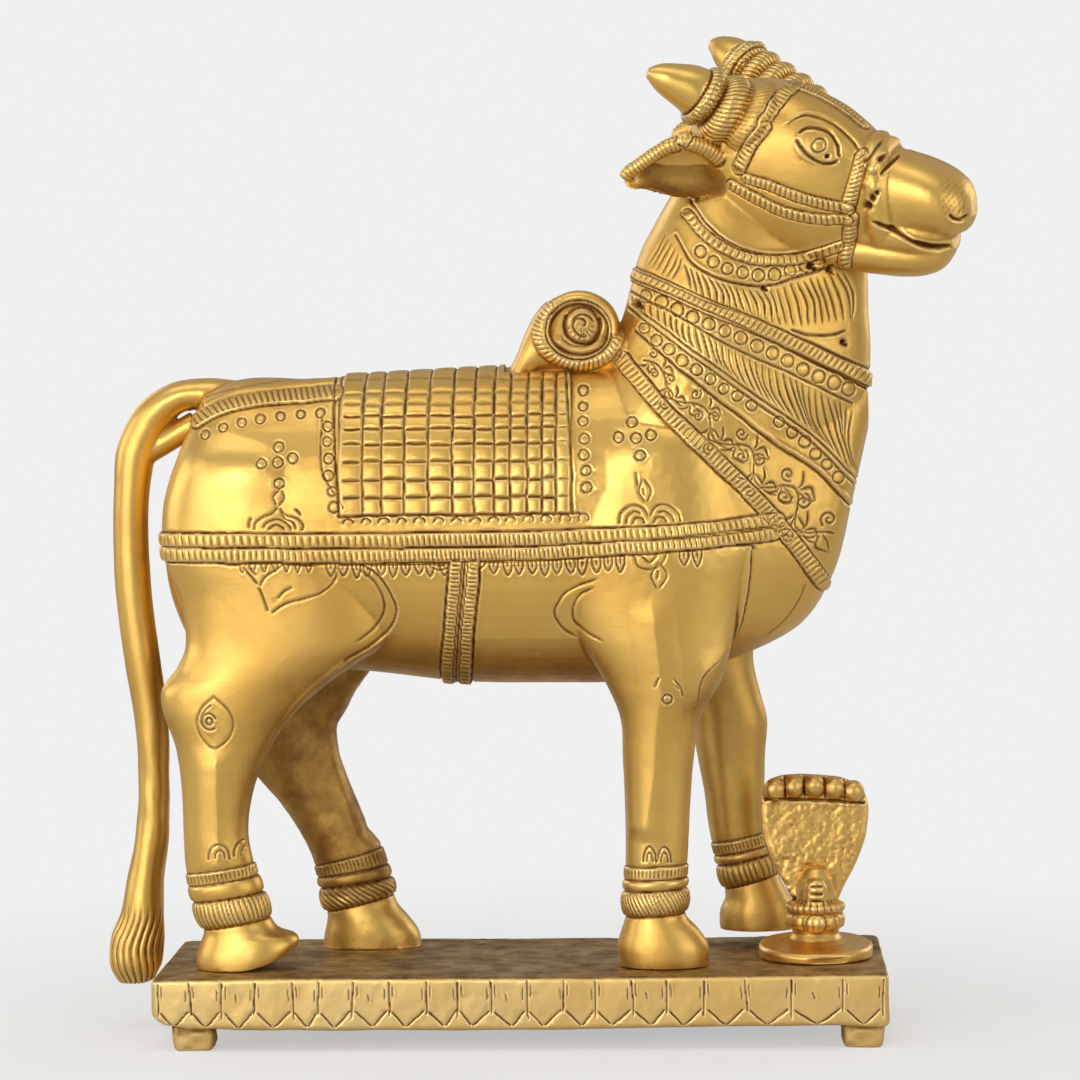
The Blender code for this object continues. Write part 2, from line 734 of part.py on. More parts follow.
def hood_mesh():
    """Cobra hood: its outline, thick in the middle and thin at the rim, leaning back."""
    outline = np.array(HOOD)
    middle = outline.mean(axis=0)
    rings = []
    for depth, share in HOOD_LAYERS:
        shaped = middle + (outline - middle) * share
        y = SHRINE_Y + HOOD_BACK + depth * HOOD_THICKNESS + HOOD_LEAN * shaped[:, 1]
        rings.append(np.stack([SHRINE_X + shaped[:, 0], y, SOLE + shaped[:, 1]], axis=-1))
    return loft(rings)


def cobra_head(x, height):
    """One small head at the hood's top, bulging forward."""
    y = SHRINE_Y + HOOD_BACK - HOOD_THICKNESS / 2 + HOOD_LEAN * height
    profile = [
        (COBRA_RADIUS * math.sin(angle), COBRA_RADIUS * math.cos(angle))
        for angle in np.linspace(-COBRA_POLE, COBRA_POLE, COBRA_RINGS)
    ]
    return loft(turned_rings(profile, x, y, SOLE + height))


def build_shrine():
    """Turned base, linga and five-headed cobra hood, as one casting."""
    forms = [loft(turned_rings(SHRINE_PROFILE, SHRINE_X, SHRINE_Y, SOLE))]
    forms.append(loft(turned_rings(LINGA, SHRINE_X, SHRINE_Y + LINGA_FORWARD, SOLE)))
    forms.append(hood_mesh())
    for x, height in COBRA_PLACES:
        forms.append(cobra_head(SHRINE_X + x, height))
    shrine = join_forms("naga_lingam", forms)
    melt(shrine, SHRINE_CELL, SHRINE_SOFTENING)
    flatten_below(shrine, SOLE)
    reduce_to(shrine, SHRINE_TRIANGLES)
    shrine.data.materials.append(brass("shrine_brass", BRASS, 0.36))
    return shrine


def block(name, size, centre, taper=1.0):
    """Box in mm, narrower at its underside by the taper."""
    length, depth, height = size
    corners = []
    for level, share in ((-0.5, taper), (0.5, 1.0)):
        for side_x, side_y in ((-0.5, -0.5), (0.5, -0.5), (0.5, 0.5), (-0.5, 0.5)):
            corners.append(
                (
                    centre[0] + side_x * length * share,
                    centre[1] + side_y * depth * share,
                    centre[2] + level * height,
                )
            )
    faces = [(3, 2, 1, 0), (4, 5, 6, 7), (0, 1, 5, 4), (1, 2, 6, 5), (2, 3, 7, 6), (3, 0, 4, 7)]
    return mesh_object(name, corners, faces)


def combine(item, other, operation):
    """Boolean of two closed bodies, kept on the first."""
    step = item.modifiers.new(operation, "BOOLEAN")
    step.operation = operation
    step.object = other
    bake(item)
    bpy.data.objects.remove(other, do_unlink=True)


def groove(start, end, outward):
    """Three-sided cutter along a line on a face, its sharp edge inside the metal."""
    start, end, outward = (np.array(value, float) for value in (start, end, outward))
    way = (end - start) / np.linalg.norm(end - start)
    across = np.cross(way, outward) * GROOVE_WIDTH / 2
    corners = []
    for place in (start, end):
        corners += [
            place - outward * GROOVE_DEPTH,
            place + (across + outward * GROOVE_DEPTH) * GROOVE_FLARE,
            place + (outward * GROOVE_DEPTH - across) * GROOVE_FLARE,
        ]
    faces = [(0, 1, 2), (5, 4, 3), (0, 3, 4, 1), (1, 4, 5, 2), (2, 5, 3, 0)]
    return np.array(corners), faces


def petal_grooves():
    """Cut lines of the petal row on the plinth's front: stems, and points below them."""
    front = -PLINTH_DEPTH / 2
    first = PLINTH_MIDDLE_X - PLINTH_LENGTH / 2 + PETAL_END
    step = (PLINTH_LENGTH - 2 * PETAL_END) / PETALS
    cuts = []
    for petal in range(PETALS + 1):
        x = first + petal * step
        cuts.append(groove((x, front, PETAL_TOP), (x, front, PETAL_SHOULDER), (0, -1, 0)))
        if petal == PETALS:
            break
        tip = (x + step / 2, front, PETAL_POINT)
        inset, start_height = PETAL_START
        cuts.append(groove((x + inset, front, start_height), tip, (0, -1, 0)))
        cuts.append(groove(tip, (x + step - inset, front, start_height), (0, -1, 0)))
    return cuts


def build_plinth():
    """Slab with rounded corners, four short feet and a row of cut petals."""
    height = SLAB_TOP - SLAB_UNDERSIDE
    middle = (PLINTH_MIDDLE_X, 0.0, SLAB_UNDERSIDE + height / 2)
    plinth = block("plinth", (PLINTH_LENGTH, PLINTH_DEPTH, height), middle)
    round_edges = plinth.modifiers.new("Round", "BEVEL")
    round_edges.width = EDGE_ROUND * MM
    round_edges.segments = EDGE_STEPS
    bake(plinth)
    for end in (-1, 1):
        for side in (-1, 1):
            x = PLINTH_MIDDLE_X + end * (PLINTH_LENGTH / 2 - FOOT_INSET[end])
            y = side * (PLINTH_DEPTH / 2 - FOOT_SIZE[1] / 2 - FOOT_SETBACK)
            foot_height = SLAB_UNDERSIDE + FOOT_OVERLAP
            foot = block("foot", (*FOOT_SIZE, foot_height), (x, y, foot_height / 2), FOOT_TAPER)
            combine(plinth, foot, "UNION")
    for cut in petal_grooves():
        combine(plinth, mesh_object("groove", *cut), "DIFFERENCE")
    plinth.data.materials.append(brass("plinth_brass", DARK_BRASS, 0.45))
    return plinth


def main():
    """Build every casting in its place."""
    clear_scene()
    build_bull()
    build_plinth()
    build_shrine()


main()
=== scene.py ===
"""Looks of a cast brass nandi bull on its petalled plinth, before a linga under a cobra hood.

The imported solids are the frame. Each casting is built again here at full fineness: its body form
from the same stations as the solid, then its chased ornament raised on and cut into the skin.
Side-view places are x and z in millimetres, and head places are forward and up from the head's pivot.
"""

import math

import bmesh
import bpy
import numpy as np
from mathutils import Matrix, Vector


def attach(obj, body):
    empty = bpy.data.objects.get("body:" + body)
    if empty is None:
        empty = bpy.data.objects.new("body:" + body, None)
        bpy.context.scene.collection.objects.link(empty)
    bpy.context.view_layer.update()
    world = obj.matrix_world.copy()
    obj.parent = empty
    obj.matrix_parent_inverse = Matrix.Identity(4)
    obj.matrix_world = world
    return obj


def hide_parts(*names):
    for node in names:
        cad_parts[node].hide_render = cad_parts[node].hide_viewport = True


bl_info = {
    "name": "Nandi bull casting",
    "version": (1, 0, 0),
    "blender": (4, 5, 0),
    "location": "View3D > Sidebar > Nandi bull",
    "description": "Builds the chased brass bull, its plinth and the hooded linga round the packed frame",
    "category": "Object",
}

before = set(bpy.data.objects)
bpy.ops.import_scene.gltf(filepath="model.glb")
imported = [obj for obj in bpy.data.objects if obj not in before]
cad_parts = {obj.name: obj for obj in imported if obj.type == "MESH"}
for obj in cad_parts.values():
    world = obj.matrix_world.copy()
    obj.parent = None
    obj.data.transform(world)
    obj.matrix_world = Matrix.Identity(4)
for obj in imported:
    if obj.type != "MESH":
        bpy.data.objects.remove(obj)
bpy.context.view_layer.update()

MM = 0.001

# Main places, mm
SLAB_TOP = 19.2
SOLE = SLAB_TOP + 0.3
BULL_Y = 3.5
LEG_SPREAD = 19.5
HEAD_PIVOT = np.array((50.0, 3.5, 228.0))
HEAD_YAW = math.radians(18.0)
HEAD_ROLL = math.radians(16.0)
RING_POINTS = 64
# Cell of the skin that the rounds of smoothing are counted for
BASE_CELL = 0.36

# Trunk: x, underside z, back z, half width
TRUNK = (
    (-99.6, 127.0, 141.0, 6.0),
    (-97.6, 116.0, 150.0, 14.0),
    (-93.0, 105.0, 159.5, 20.0),
    (-87.4, 101.0, 171.5, 24.5),
    (-80.0, 99.5, 174.6, 26.5),
    (-64.0, 98.0, 175.0, 28.0),
    (-44.0, 96.2, 175.6, 28.5),
    (-20.0, 93.4, 176.6, 28.5),
    (6.0, 92.8, 178.0, 28.5),
    (28.0, 93.2, 179.0, 28.0),
    (46.0, 96.8, 179.0, 26.0),
    (60.0, 102.0, 178.0, 22.5),
    (70.5, 108.2, 177.0, 18.5),
    (78.5, 120.0, 176.0, 14.0),
    (84.0, 139.8, 175.0, 9.5),
    (88.6, 160.0, 174.0, 4.5),
)

# Neck: z, nape x, throat x, half width
NECK = (
    (150.0, 0.0, 85.5, 23.0),
    (164.0, 10.0, 88.0, 23.0),
    (174.0, 16.5, 89.2, 22.0),
    (183.0, 20.8, 89.5, 21.0),
    (191.0, 23.8, 89.0, 20.0),
    (199.0, 26.0, 88.9, 19.0),
    (207.0, 28.2, 88.4, 17.8),
    (215.0, 32.4, 85.0, 16.5),
    (222.0, 36.5, 80.0, 15.0),
    (230.0, 41.5, 74.0, 13.0),
    (238.0, 47.0, 68.0, 10.0),
)

# Legs: z, rear x, front x, outward offset of the middle from the spread, half width
NEAR_HIND = (
    (171.0, -88.0, -62.0, -15.0, 7.0),
    (156.0, -94.0, -56.0, -6.5, 12.0),
    (140.0, -98.5, -47.5, -4.5, 13.0),
    (128.0, -98.2, -43.2, -3.5, 13.0),
    (117.0, -93.8, -37.4, -2.8, 12.4),
    (106.0, -92.6, -38.6, -2.0, 11.6),
    (99.0, -95.0, -48.5, -1.2, 10.8),
    (92.8, -99.2, -57.2, -0.5, 10.0),
    (88.0, -98.8, -62.6, 0.0, 9.3),
    (77.5, -95.3, -70.4, 0.0, 8.6),
    (66.0, -94.0, -75.2, 0.0, 8.2),
    (54.0, -93.7, -76.6, 0.0, 8.0),
    (47.0, -93.4, -75.2, 0.0, 8.0),
    (40.0, -92.2, -73.2, 0.0, 8.0),
    (33.5, -90.2, -71.4, 0.0, 8.0),
    (29.5, -88.8, -69.0, 0.0, 8.4),
    (26.5, -89.6, -64.8, 0.0, 9.2),
    (22.5, -90.8, -63.6, 0.0, 9.8),
    (17.0, -90.6, -65.4, 0.0, 9.8),
)
NEAR_FRONT = (
    (174.0, 20.0, 46.0, -15.0, 7.0),
    (160.0, 12.0, 52.0, -5.5, 11.0),
    (145.0, 4.0, 56.0, -3.5, 12.5),
    (130.0, 3.0, 57.5, -2.0, 13.0),
    (118.0, 7.0, 54.5, -1.2, 12.0),
    (105.5, 11.5, 52.0, -0.4, 10.8),
    (94.0, 18.4, 48.6, 0.0, 9.8),
    (84.5, 22.2, 43.2, 0.0, 9.0),
    (74.0, 22.6, 41.4, 0.0, 8.6),
    (60.0, 23.1, 40.2, 0.0, 8.2),
    (51.0, 23.2, 39.7, 0.0, 8.0),
    (44.0, 23.0, 39.2, 0.0, 7.9),
    (37.0, 22.8, 38.8, 0.0, 7.9),
    (32.6, 22.9, 38.8, 0.0, 8.1),
    (29.0, 21.8, 42.0, 0.0, 8.9),
    (24.5, 20.7, 44.8, 0.0, 9.7),
    (20.5, 21.2, 45.0, 0.0, 9.8),
    (17.0, 21.6, 44.6, 0.0, 9.6),
)
FAR_HIND = (
    (171.0, -88.0, -62.0, 15.0, 7.0),
    (156.0, -94.0, -54.0, 6.5, 12.0),
    (140.0, -98.5, -48.0, 4.5, 13.0),
    (122.0, -97.0, -43.0, 3.2, 12.6),
    (108.0, -94.0, -43.0, 2.2, 11.6),
    (96.0, -92.0, -46.2, 1.0, 10.4),
    (88.5, -90.5, -51.4, 0.3, 9.6),
    (80.5, -87.0, -54.6, 0.0, 8.9),
    (73.0, -83.0, -54.9, 0.0, 8.5),
    (66.0, -78.2, -53.0, 0.0, 8.2),
    (58.5, -71.8, -49.4, 0.0, 8.0),
    (52.0, -67.4, -46.4, 0.0, 7.9),
    (46.0, -64.2, -44.4, 0.0, 7.9),
    (40.0, -62.2, -42.6, 0.0, 7.9),
    (34.0, -60.8, -41.4, 0.0, 8.0),
    (31.0, -60.2, -40.4, 0.0, 8.2),
    (27.6, -59.4, -37.6, 0.0, 9.0),
    (23.4, -60.2, -34.6, 0.0, 9.6),
    (17.0, -61.0, -33.4, 0.0, 9.6),
)
FAR_FRONT = (
    (174.0, 20.0, 46.0, 15.0, 7.0),
    (160.0, 18.0, 58.0, 5.5, 11.0),
    (140.0, 20.0, 64.0, 3.5, 12.5),
    (122.0, 24.0, 63.0, 1.6, 12.0),
    (108.0, 31.0, 59.5, 0.6, 11.0),
    (98.0, 36.0, 57.6, 0.0, 10.0),
    (88.0, 39.6, 59.4, 0.0, 9.2),
    (80.5, 41.0, 61.3, 0.0, 8.8),
    (72.0, 42.0, 60.7, 0.0, 8.4),
    (60.0, 44.0, 60.4, 0.0, 8.2),
    (54.0, 44.6, 60.4, 0.0, 8.0),
    (48.0, 45.6, 61.2, 0.0, 7.9),
    (42.0, 47.2, 63.0, 0.0, 7.9),
    (36.4, 48.8, 64.8, 0.0, 8.0),
    (31.6, 49.4, 67.2, 0.0, 8.8),
    (27.0, 48.0, 68.6, 0.0, 9.4),
    (22.5, 47.8, 69.2, 0.0, 9.6),
    (17.0, 48.2, 69.0, 0.0, 9.6),
)

# Head, along its own length from the pivot: forward, underside, top, half width
SKULL = (
    (-8.0, -14.0, 12.0, 7.0),
    (-4.0, -20.0, 18.5, 11.5),
    (3.0, -23.5, 23.5, 15.0),
    (11.0, -25.0, 25.2, 16.6),
    (19.0, -25.6, 24.4, 17.0),
    (27.0, -25.4, 21.6, 16.2),
    (34.0, -24.6, 17.8, 14.6),
    (40.5, -23.2, 12.4, 12.6),
    (46.0, -20.5, 6.8, 11.4),
    (52.0, -18.8, 4.5, 11.4),
    (58.0, -18.2, 2.3, 11.6),
    (63.2, -17.6, -0.6, 10.6),
    (67.0, -16.2, -4.0, 7.6),
    (68.6, -13.2, -7.2, 3.0),
)
LOWER_JAW = (
    (30.0, -25.0, -12.0, 12.0),
    (36.0, -26.4, -13.0, 11.8),
    (43.0, -27.6, -14.0, 11.6),
    (50.0, -28.4, -15.0, 11.2),
    (55.0, -28.2, -16.2, 10.4),
    (59.6, -26.6, -17.2, 8.6),
    (62.4, -23.2, -18.6, 4.6),
)
LIPS = (
    (34.0, -20.0, -7.0, 10.6),
    (42.0, -21.6, -8.4, 11.4),
    (49.0, -22.8, -9.4, 11.6),
    (56.0, -23.6, -10.6, 11.0),
    (60.0, -23.4, -12.0, 9.4),
    (63.2, -22.0, -13.4, 5.6),
)
NOSEBAND = (
    (42.2, -24.5, 9.6, 12.0),
    (43.6, -24.6, 10.2, 13.0),
    (46.8, -24.2, 8.6, 12.8),
    (48.4, -23.8, 6.6, 11.6),
)

# Horns, tip to root: x, y, z, radius
# Their rope coils: x, y, z, middle radius, thickness, ribs, rib depth
NEAR_HORN = (
    (31.0, -15.6, 254.0, 1.2),
    (33.2, -15.0, 253.3, 3.0),
    (38.2, -13.4, 251.4, 5.2),
    (43.6, -11.7, 249.0, 6.8),
    (44.2, -11.5, 248.6, 6.9),
    (50.8, -9.0, 243.8, 6.6),
    (58.0, -6.4, 237.8, 6.6),
    (64.0, -4.0, 232.6, 6.0),
)
NEAR_COILS = (
    (45.6, -11.0, 247.7, 6.3, 1.7, 34, 0.30),
    (50.6, -9.6, 243.9, 6.6, 3.9, 44, 0.24),
    (57.2, -9.8, 241.6, 7.0, 4.0, 46, 0.10),
)
FAR_HORN = (
    (47.6, 27.0, 264.0, 1.2),
    (49.6, 26.0, 263.2, 3.0),
    (52.4, 24.4, 261.4, 4.8),
    (55.2, 22.8, 259.2, 5.7),
    (60.0, 19.8, 255.0, 5.8),
    (65.0, 16.6, 250.4, 6.0),
    (69.0, 13.6, 246.4, 6.2),
    (72.0, 11.0, 243.0, 6.0),
)
FAR_COILS = (
    (57.2, 21.4, 257.6, 4.7, 2.3, 30, 0.26),
    (60.8, 19.2, 254.6, 5.0, 2.6, 34, 0.26),
    (64.6, 16.8, 251.2, 5.3, 2.8, 36, 0.26),
    (68.6, 14.2, 247.6, 5.6, 3.0, 38, 0.22),
    (72.4, 11.4, 244.0, 5.8, 3.0, 38, 0.18),
)
# Plain collars of the horns: from and to, along the horn from its tip
NEAR_HORN_COLLARS = ((14.6, 17.6),)
FAR_HORN_COLLARS = ((9.6, 11.4), (11.9, 13.4))
COIL_STEPS = 96
COIL_ROUND = 24

# Ears in the head's own axes: root and tip as forward, sideways, up
EAR_ROOT = (4.0, 12.0, 4.2)
EAR_TIP = (-18.0, 21.5, 4.6)
EAR_HALF_HEIGHT = 8.2
EAR_THICKNESS = 2.6
EAR_RIM = (0.75, 0.45)
EAR_CUP = 4.2
EAR_ARCH = 1.6
EAR_BACK = 1.06
EAR_RINGS = 24
EAR_HOLLOW = ((3.0, 13.0, 1.0), (-5.0, 16.6, 1.6), (-12.0, 19.4, 3.0))
EAR_HOLLOW_REACH = 5.0
EAR_ROLL = 2.4
EAR_ROLL_THINNING = 0.55
EAR_ROLL_STEPS = 140
# Ear outline: share of the length, share of the half height
EAR_OUTLINE = (
    (0.0, 0.45),
    (0.15, 0.78),
    (0.35, 1.0),
    (0.55, 0.88),
    (0.75, 0.62),
    (0.9, 0.42),
    (1.0, 0.34),
    (1.06, 0.16),
)

# Tail: x, z, half length and half width of its section
TAIL = (
    (-78.2, 169.5, 4.8, 4.7),
    (-88.2, 171.0, 4.3, 5.0),
    (-95.7, 170.3, 4.2, 5.2),
    (-102.0, 166.0, 4.9, 5.2),
    (-106.8, 157.5, 5.3, 5.0),
    (-108.8, 145.0, 4.8, 4.8),
    (-109.2, 130.0, 4.8, 4.6),
    (-108.4, 114.0, 4.8, 4.5),
    (-106.4, 98.0, 4.8, 4.4),
    (-104.4, 82.0, 4.5, 4.3),
    (-104.1, 66.0, 4.2, 4.2),
    (-104.8, 52.0, 4.5, 4.6),
    (-106.8, 40.0, 5.0, 5.4),
    (-107.8, 31.0, 5.8, 6.2),
    (-109.4, 22.0, 7.2, 7.0),
    (-109.8, 16.5, 7.0, 6.6),
    (-109.4, 12.6, 4.8, 4.4),
)
STRUT_ENDS = ((-105.5, 155.0), (-91.0, 163.4))
STRUT_RADIUS = 3.3

# Hump scroll: middle x and z, radius, half width, and its rounded ends as shares across and of the radius
SCROLL = (12.2, 187.0, 10.4, 12.5)
SCROLL_ENDS = ((-1.0, 0.86), (-0.96, 0.95), (-0.88, 1.0), (0.88, 1.0), (0.96, 0.95), (1.0, 0.86))
SCROLL_EYE = (12.1, 186.9)
SCROLL_FLATTENING = 1.12
SCROLL_FOOT = (
    (-6.4, 168.0, 177.5, 9.0),
    (-4.6, 170.0, 181.0, 10.5),
    (-2.4, 172.0, 186.5, 11.5),
    (0.2, 173.0, 191.2, 12.0),
    (3.4, 174.0, 194.6, 12.4),
    (14.0, 174.0, 189.0, 13.5),
    (24.0, 174.0, 187.0, 14.5),
    (30.0, 174.0, 185.0, 14.5),
)


def blend(rows, count):
    """Rows at even steps on a smooth curve through the rows given."""
    rows = np.array(rows, float)
    gaps = np.linalg.norm(np.diff(rows[:, :3], axis=0), axis=1)
    along = np.concatenate(([0.0], np.cumsum(gaps)))
    slopes = np.gradient(rows, along, axis=0)
    wanted = np.linspace(0.0, along[-1], count)
    index = np.clip(np.searchsorted(along, wanted, side="right") - 1, 0, len(gaps) - 1)
    span = gaps[index]
    t = ((wanted - along[index]) / span)[:, None]
    start, end = rows[index], rows[index + 1]
    leave, arrive = slopes[index] * span[:, None], slopes[index + 1] * span[:, None]
    return (
        (2 * t**3 - 3 * t**2 + 1) * start
        + (t**3 - 2 * t**2 + t) * leave
        + (3 * t**2 - 2 * t**3) * end
        + (t**3 - t**2) * arrive
    )


def squared_circle(power, points=RING_POINTS):
    """Unit outline between a circle (power 2) and a square (large power)."""
    turn = np.linspace(0.0, 2 * math.pi, points, endpoint=False)
    across, up = np.cos(turn), np.sin(turn)
    return np.sign(across) * np.abs(across) ** (2 / power), np.sign(up) * np.abs(up) ** (2 / power)


def wall_faces(count, levels, steps):
    """Faces between each ring and the next, the last ring going on to the first."""
    faces = []
    for level in range(steps):
        low, high = level * count, (level + 1) % levels * count
        for point in range(count):
            after = (point + 1) % count
            faces.append((low + point, low + after, high + after, high + point))
    return faces


def loft(rings):
    """Closed mesh data through rings of equal point count: vertices and faces."""
    count, levels = len(rings[0]), len(rings)
    foot = tuple(range(count))[::-1]
    last = tuple(range((levels - 1) * count, levels * count))
    return np.concatenate(rings), [foot, *wall_faces(count, levels, levels - 1), last]


def closed_tube(rings):
    """Mesh data of a tube whose last ring meets its first."""
    count, levels = len(rings[0]), len(rings)
    return np.concatenate(rings), wall_faces(count, levels, levels)


def places_of(mesh, what="co"):
    """Vertex places in mm, or vertex normals."""
    values = np.empty(len(mesh.vertices) * 3)
    if what == "co":
        mesh.vertices.foreach_get("co", values)
        return values.reshape(-1, 3) / MM
    mesh.vertex_normals.foreach_get("vector", values)
    return values.reshape(-1, 3)


def put_places(mesh, places):
    """Write vertex places given in mm."""
    mesh.vertices.foreach_set("co", (places * MM).ravel())
    mesh.update()


def mesh_object(name, corners, faces):
    """Object from millimetre corners, its faces turned to point out."""
    mesh = bpy.data.meshes.new(name)
    mesh.from_pydata((np.asarray(corners) * MM).tolist(), [], [tuple(face) for face in faces])
    mesh.update()
    mesh.calc_loop_triangles()
    triangles = np.empty(len(mesh.loop_triangles) * 3, np.int32)
    mesh.loop_triangles.foreach_get("vertices", triangles)
    one, two, three = (np.asarray(corners)[triangles.reshape(-1, 3)[:, side]] for side in range(3))
    if np.einsum("ij,ij->i", one, np.cross(two, three)).sum() < 0:
        mesh.flip_normals()
    item = bpy.data.objects.new(name, mesh)
    bpy.context.scene.collection.objects.link(item)
    return item


def upright_rings(rows, power, widest=None):
    """Rings across X: underside and top heights, widest at a given level."""
    reach, rise = squared_circle(power)
    rings = []
    for x, low, high, half in rows:
        level = (low + high) / 2
        if widest is not None:
            margin = 0.35 * (high - low)
            level = min(max(widest, low + margin), high - margin)
        z = np.where(rise > 0, level + rise * (high - level), level + rise * (level - low))
        rings.append(np.stack([np.full_like(z, x), BULL_Y + half * reach, z], axis=-1))
    return rings


def level_rings(rows, power, side=0.0, taper=0.0):
    """Rings at one height each: rear and front x, and an outward offset of the middle."""
    reach, rise = squared_circle(power)
    rings = []
    for row in rows:
        z, rear, front = row[:3]
        offset, half = (row[3], row[4]) if len(row) == 5 else (0.0, row[3])
        x = (rear + front) / 2 + (front - rear) / 2 * reach
        y = BULL_Y + side * LEG_SPREAD - offset + half * rise * (1 - taper * reach)
        rings.append(np.stack([x, y, np.full_like(x, z)], axis=-1))
    return rings


def head_axes():
    """Unit vectors of the turned and tilted head: forward, to its far side, up."""
    forward = np.array([math.cos(HEAD_YAW), -math.sin(HEAD_YAW), 0.0])
    level_side = np.array([math.sin(HEAD_YAW), math.cos(HEAD_YAW), 0.0])
    side = level_side * math.cos(HEAD_ROLL) + np.array([0.0, 0.0, math.sin(HEAD_ROLL)])
    return forward, side, np.cross(forward, side)


def on_head(points):
    """World places of points given forward, sideways and up from the head's pivot."""
    return HEAD_PIVOT + np.asarray(points, float) @ np.array(head_axes())


def from_head(places):
    """Forward, sideways and up from the head's pivot, of world places."""
    return (places - HEAD_PIVOT) @ np.array(head_axes()).T


def head_rings(rows, power):
    """Rings across the head's length."""
    reach, rise = squared_circle(power)
    rings = []
    for ahead, low, high, half in rows:
        middle, height = (low + high) / 2, (high - low) / 2
        ring = np.stack([np.full_like(reach, ahead), half * reach, middle + height * rise], axis=-1)
        rings.append(on_head(ring))
    return rings


def tube_rings(centres, sizes, points=RING_POINTS):
    """Rings square to a path: each size is one radius, or a half length and a half width."""
    centres = np.asarray(centres, float)
    along = np.gradient(centres, axis=0)
    along /= np.linalg.norm(along, axis=1)[:, None]
    reach, rise = squared_circle(2.0, points)
    rings = []
    for centre, way, size in zip(centres, along, sizes):
        in_plane = np.cross(way, (0.0, 1.0, 0.0))
        in_plane /= np.linalg.norm(in_plane)
        across = np.cross(in_plane, way)
        length, width = size if np.ndim(size) else (size, size)
        rings.append(centre + np.outer(reach * length, in_plane) + np.outer(rise * width, across))
    return rings


def coil_ways(horn):
    """Unit vectors along a horn and two ways across it."""
    way = np.array(horn[-1][:3]) - np.array(horn[0][:3])
    way /= np.linalg.norm(way)
    one = np.cross(way, (0.0, 0.0, 1.0))
    one /= np.linalg.norm(one)
    return way, one, np.cross(way, one)


def coil_mesh(horn, coil):
    """One turn of rope round a horn."""
    x, y, z, middle, thick = coil[:5]
    way, one, two = coil_ways(horn)
    reach, rise = squared_circle(2.0, COIL_ROUND)
    rings = []
    for turn in np.linspace(0.0, 2 * math.pi, COIL_STEPS, endpoint=False):
        outward = one * math.cos(turn) + two * math.sin(turn)
        centre = np.array((x, y, z)) + outward * middle
        rings.append(centre + np.outer(reach * thick, outward) + np.outer(rise * thick, way))
    return closed_tube(rings)


def ear_rings(side):
    """Rings of one ear's cupped leaf and the path of its upper rim: side is -1 near, +1 far."""
    root = np.array(EAR_ROOT) * (1, side, 1)
    tip = np.array(EAR_TIP) * (1, side, 1)
    length_way = tip - root
    upward = np.array([0.0, 0.0, 1.0])
    outward = np.cross(length_way, upward) * side
    outward *= -1 if outward[1] * side < 0 else 1
    outward /= np.linalg.norm(outward)
    shares, heights = zip(*EAR_OUTLINE)
    rings, rim = [], []
    for step in np.linspace(0.0, shares[-1], EAR_RINGS):
        half = EAR_HALF_HEIGHT * float(np.interp(step, shares, heights))
        middle = root + length_way * step + upward * (EAR_ARCH * math.sin(math.pi * step))
        turn = np.linspace(-1.0, 1.0, RING_POINTS // 2)
        height = half * turn
        depth = EAR_CUP * (half / EAR_HALF_HEIGHT) * turn**2
        inner = middle + np.outer(height, upward) + np.outer(depth, outward)
        thick = EAR_THICKNESS * (EAR_RIM[0] + EAR_RIM[1] * np.abs(turn))
        outer = middle + np.outer(height * EAR_BACK, upward) + np.outer(depth - thick, outward)
        rings.append(on_head(np.concatenate([inner, outer[::-1]])))
        rim.append(inner[-1] - upward * EAR_THICKNESS / 6)
    return rings, on_head(blend(rim, EAR_ROLL_STEPS))


def ear_forms(side):
    """One ear's leaf, and the roll along its upper rim."""
    rings, path = ear_rings(side)
    sizes = EAR_ROLL - EAR_ROLL_THINNING * np.linspace(0.0, 1.0, len(path))
    return [loft(rings), loft(tube_rings(path, sizes, COIL_ROUND))]


def scroll_mesh():
    """Rolled hump: a short cylinder across the back with rounded ends."""
    x, z, radius, half = SCROLL
    reach, rise = squared_circle(2.0)
    rings = []
    for across, share in SCROLL_ENDS:
        y = np.full_like(reach, BULL_Y + half * across)
        rings.append(np.stack([x + radius * share * reach, y, z + radius * share * rise], axis=-1))
    return loft(rings)


def join_forms(name, forms):
    """One object from several overlapping closed forms."""
    corners, faces, start = [], [], 0
    for points, sides in forms:
        item = mesh_object("form", points, sides)
        corners.append(places_of(item.data))
        faces += [tuple(start + corner for corner in side.vertices) for side in item.data.polygons]
        start += len(item.data.vertices)
        bpy.data.objects.remove(item, do_unlink=True)
    mesh = bpy.data.meshes.new(name)
    mesh.from_pydata((np.concatenate(corners) * MM).tolist(), [], faces)
    mesh.update()
    joined = bpy.data.objects.new(name, mesh)
    bpy.context.scene.collection.objects.link(joined)
    return joined


def only(item):
    """Make one object the selected and active one."""
    for other in bpy.context.selected_objects:
        other.select_set(False)
    item.select_set(True)
    bpy.context.view_layer.objects.active = item


def soften(item, rounds, group=""):
    """Smooth a mesh, or only the points of one of its groups."""
    only(item)
    smooth = item.modifiers.new("Soften", "SMOOTH")
    smooth.factor = 0.5
    smooth.iterations = rounds
    smooth.vertex_group = group
    bpy.ops.object.modifier_apply(modifier=smooth.name)


def weld(item, cell, rounds):
    """Melt overlapping forms into one skin and soften where they meet."""
    only(item)
    skin = item.modifiers.new("Skin", "REMESH")
    skin.mode = "VOXEL"
    skin.voxel_size = cell * MM
    bpy.ops.object.modifier_apply(modifier=skin.name)
    soften(item, rounds)


def soft_step(value):
    """Smooth rise from 0 to 1."""
    value = np.clip(value, 0.0, 1.0)
    return value * value * (3.0 - 2.0 * value)


def rounded_tooth(along, pitch, sharpness=0.6):
    """Row of pillows: 0 in the gaps, 1 on their crowns."""
    return np.abs(np.sin(math.pi * along / pitch)) ** sharpness


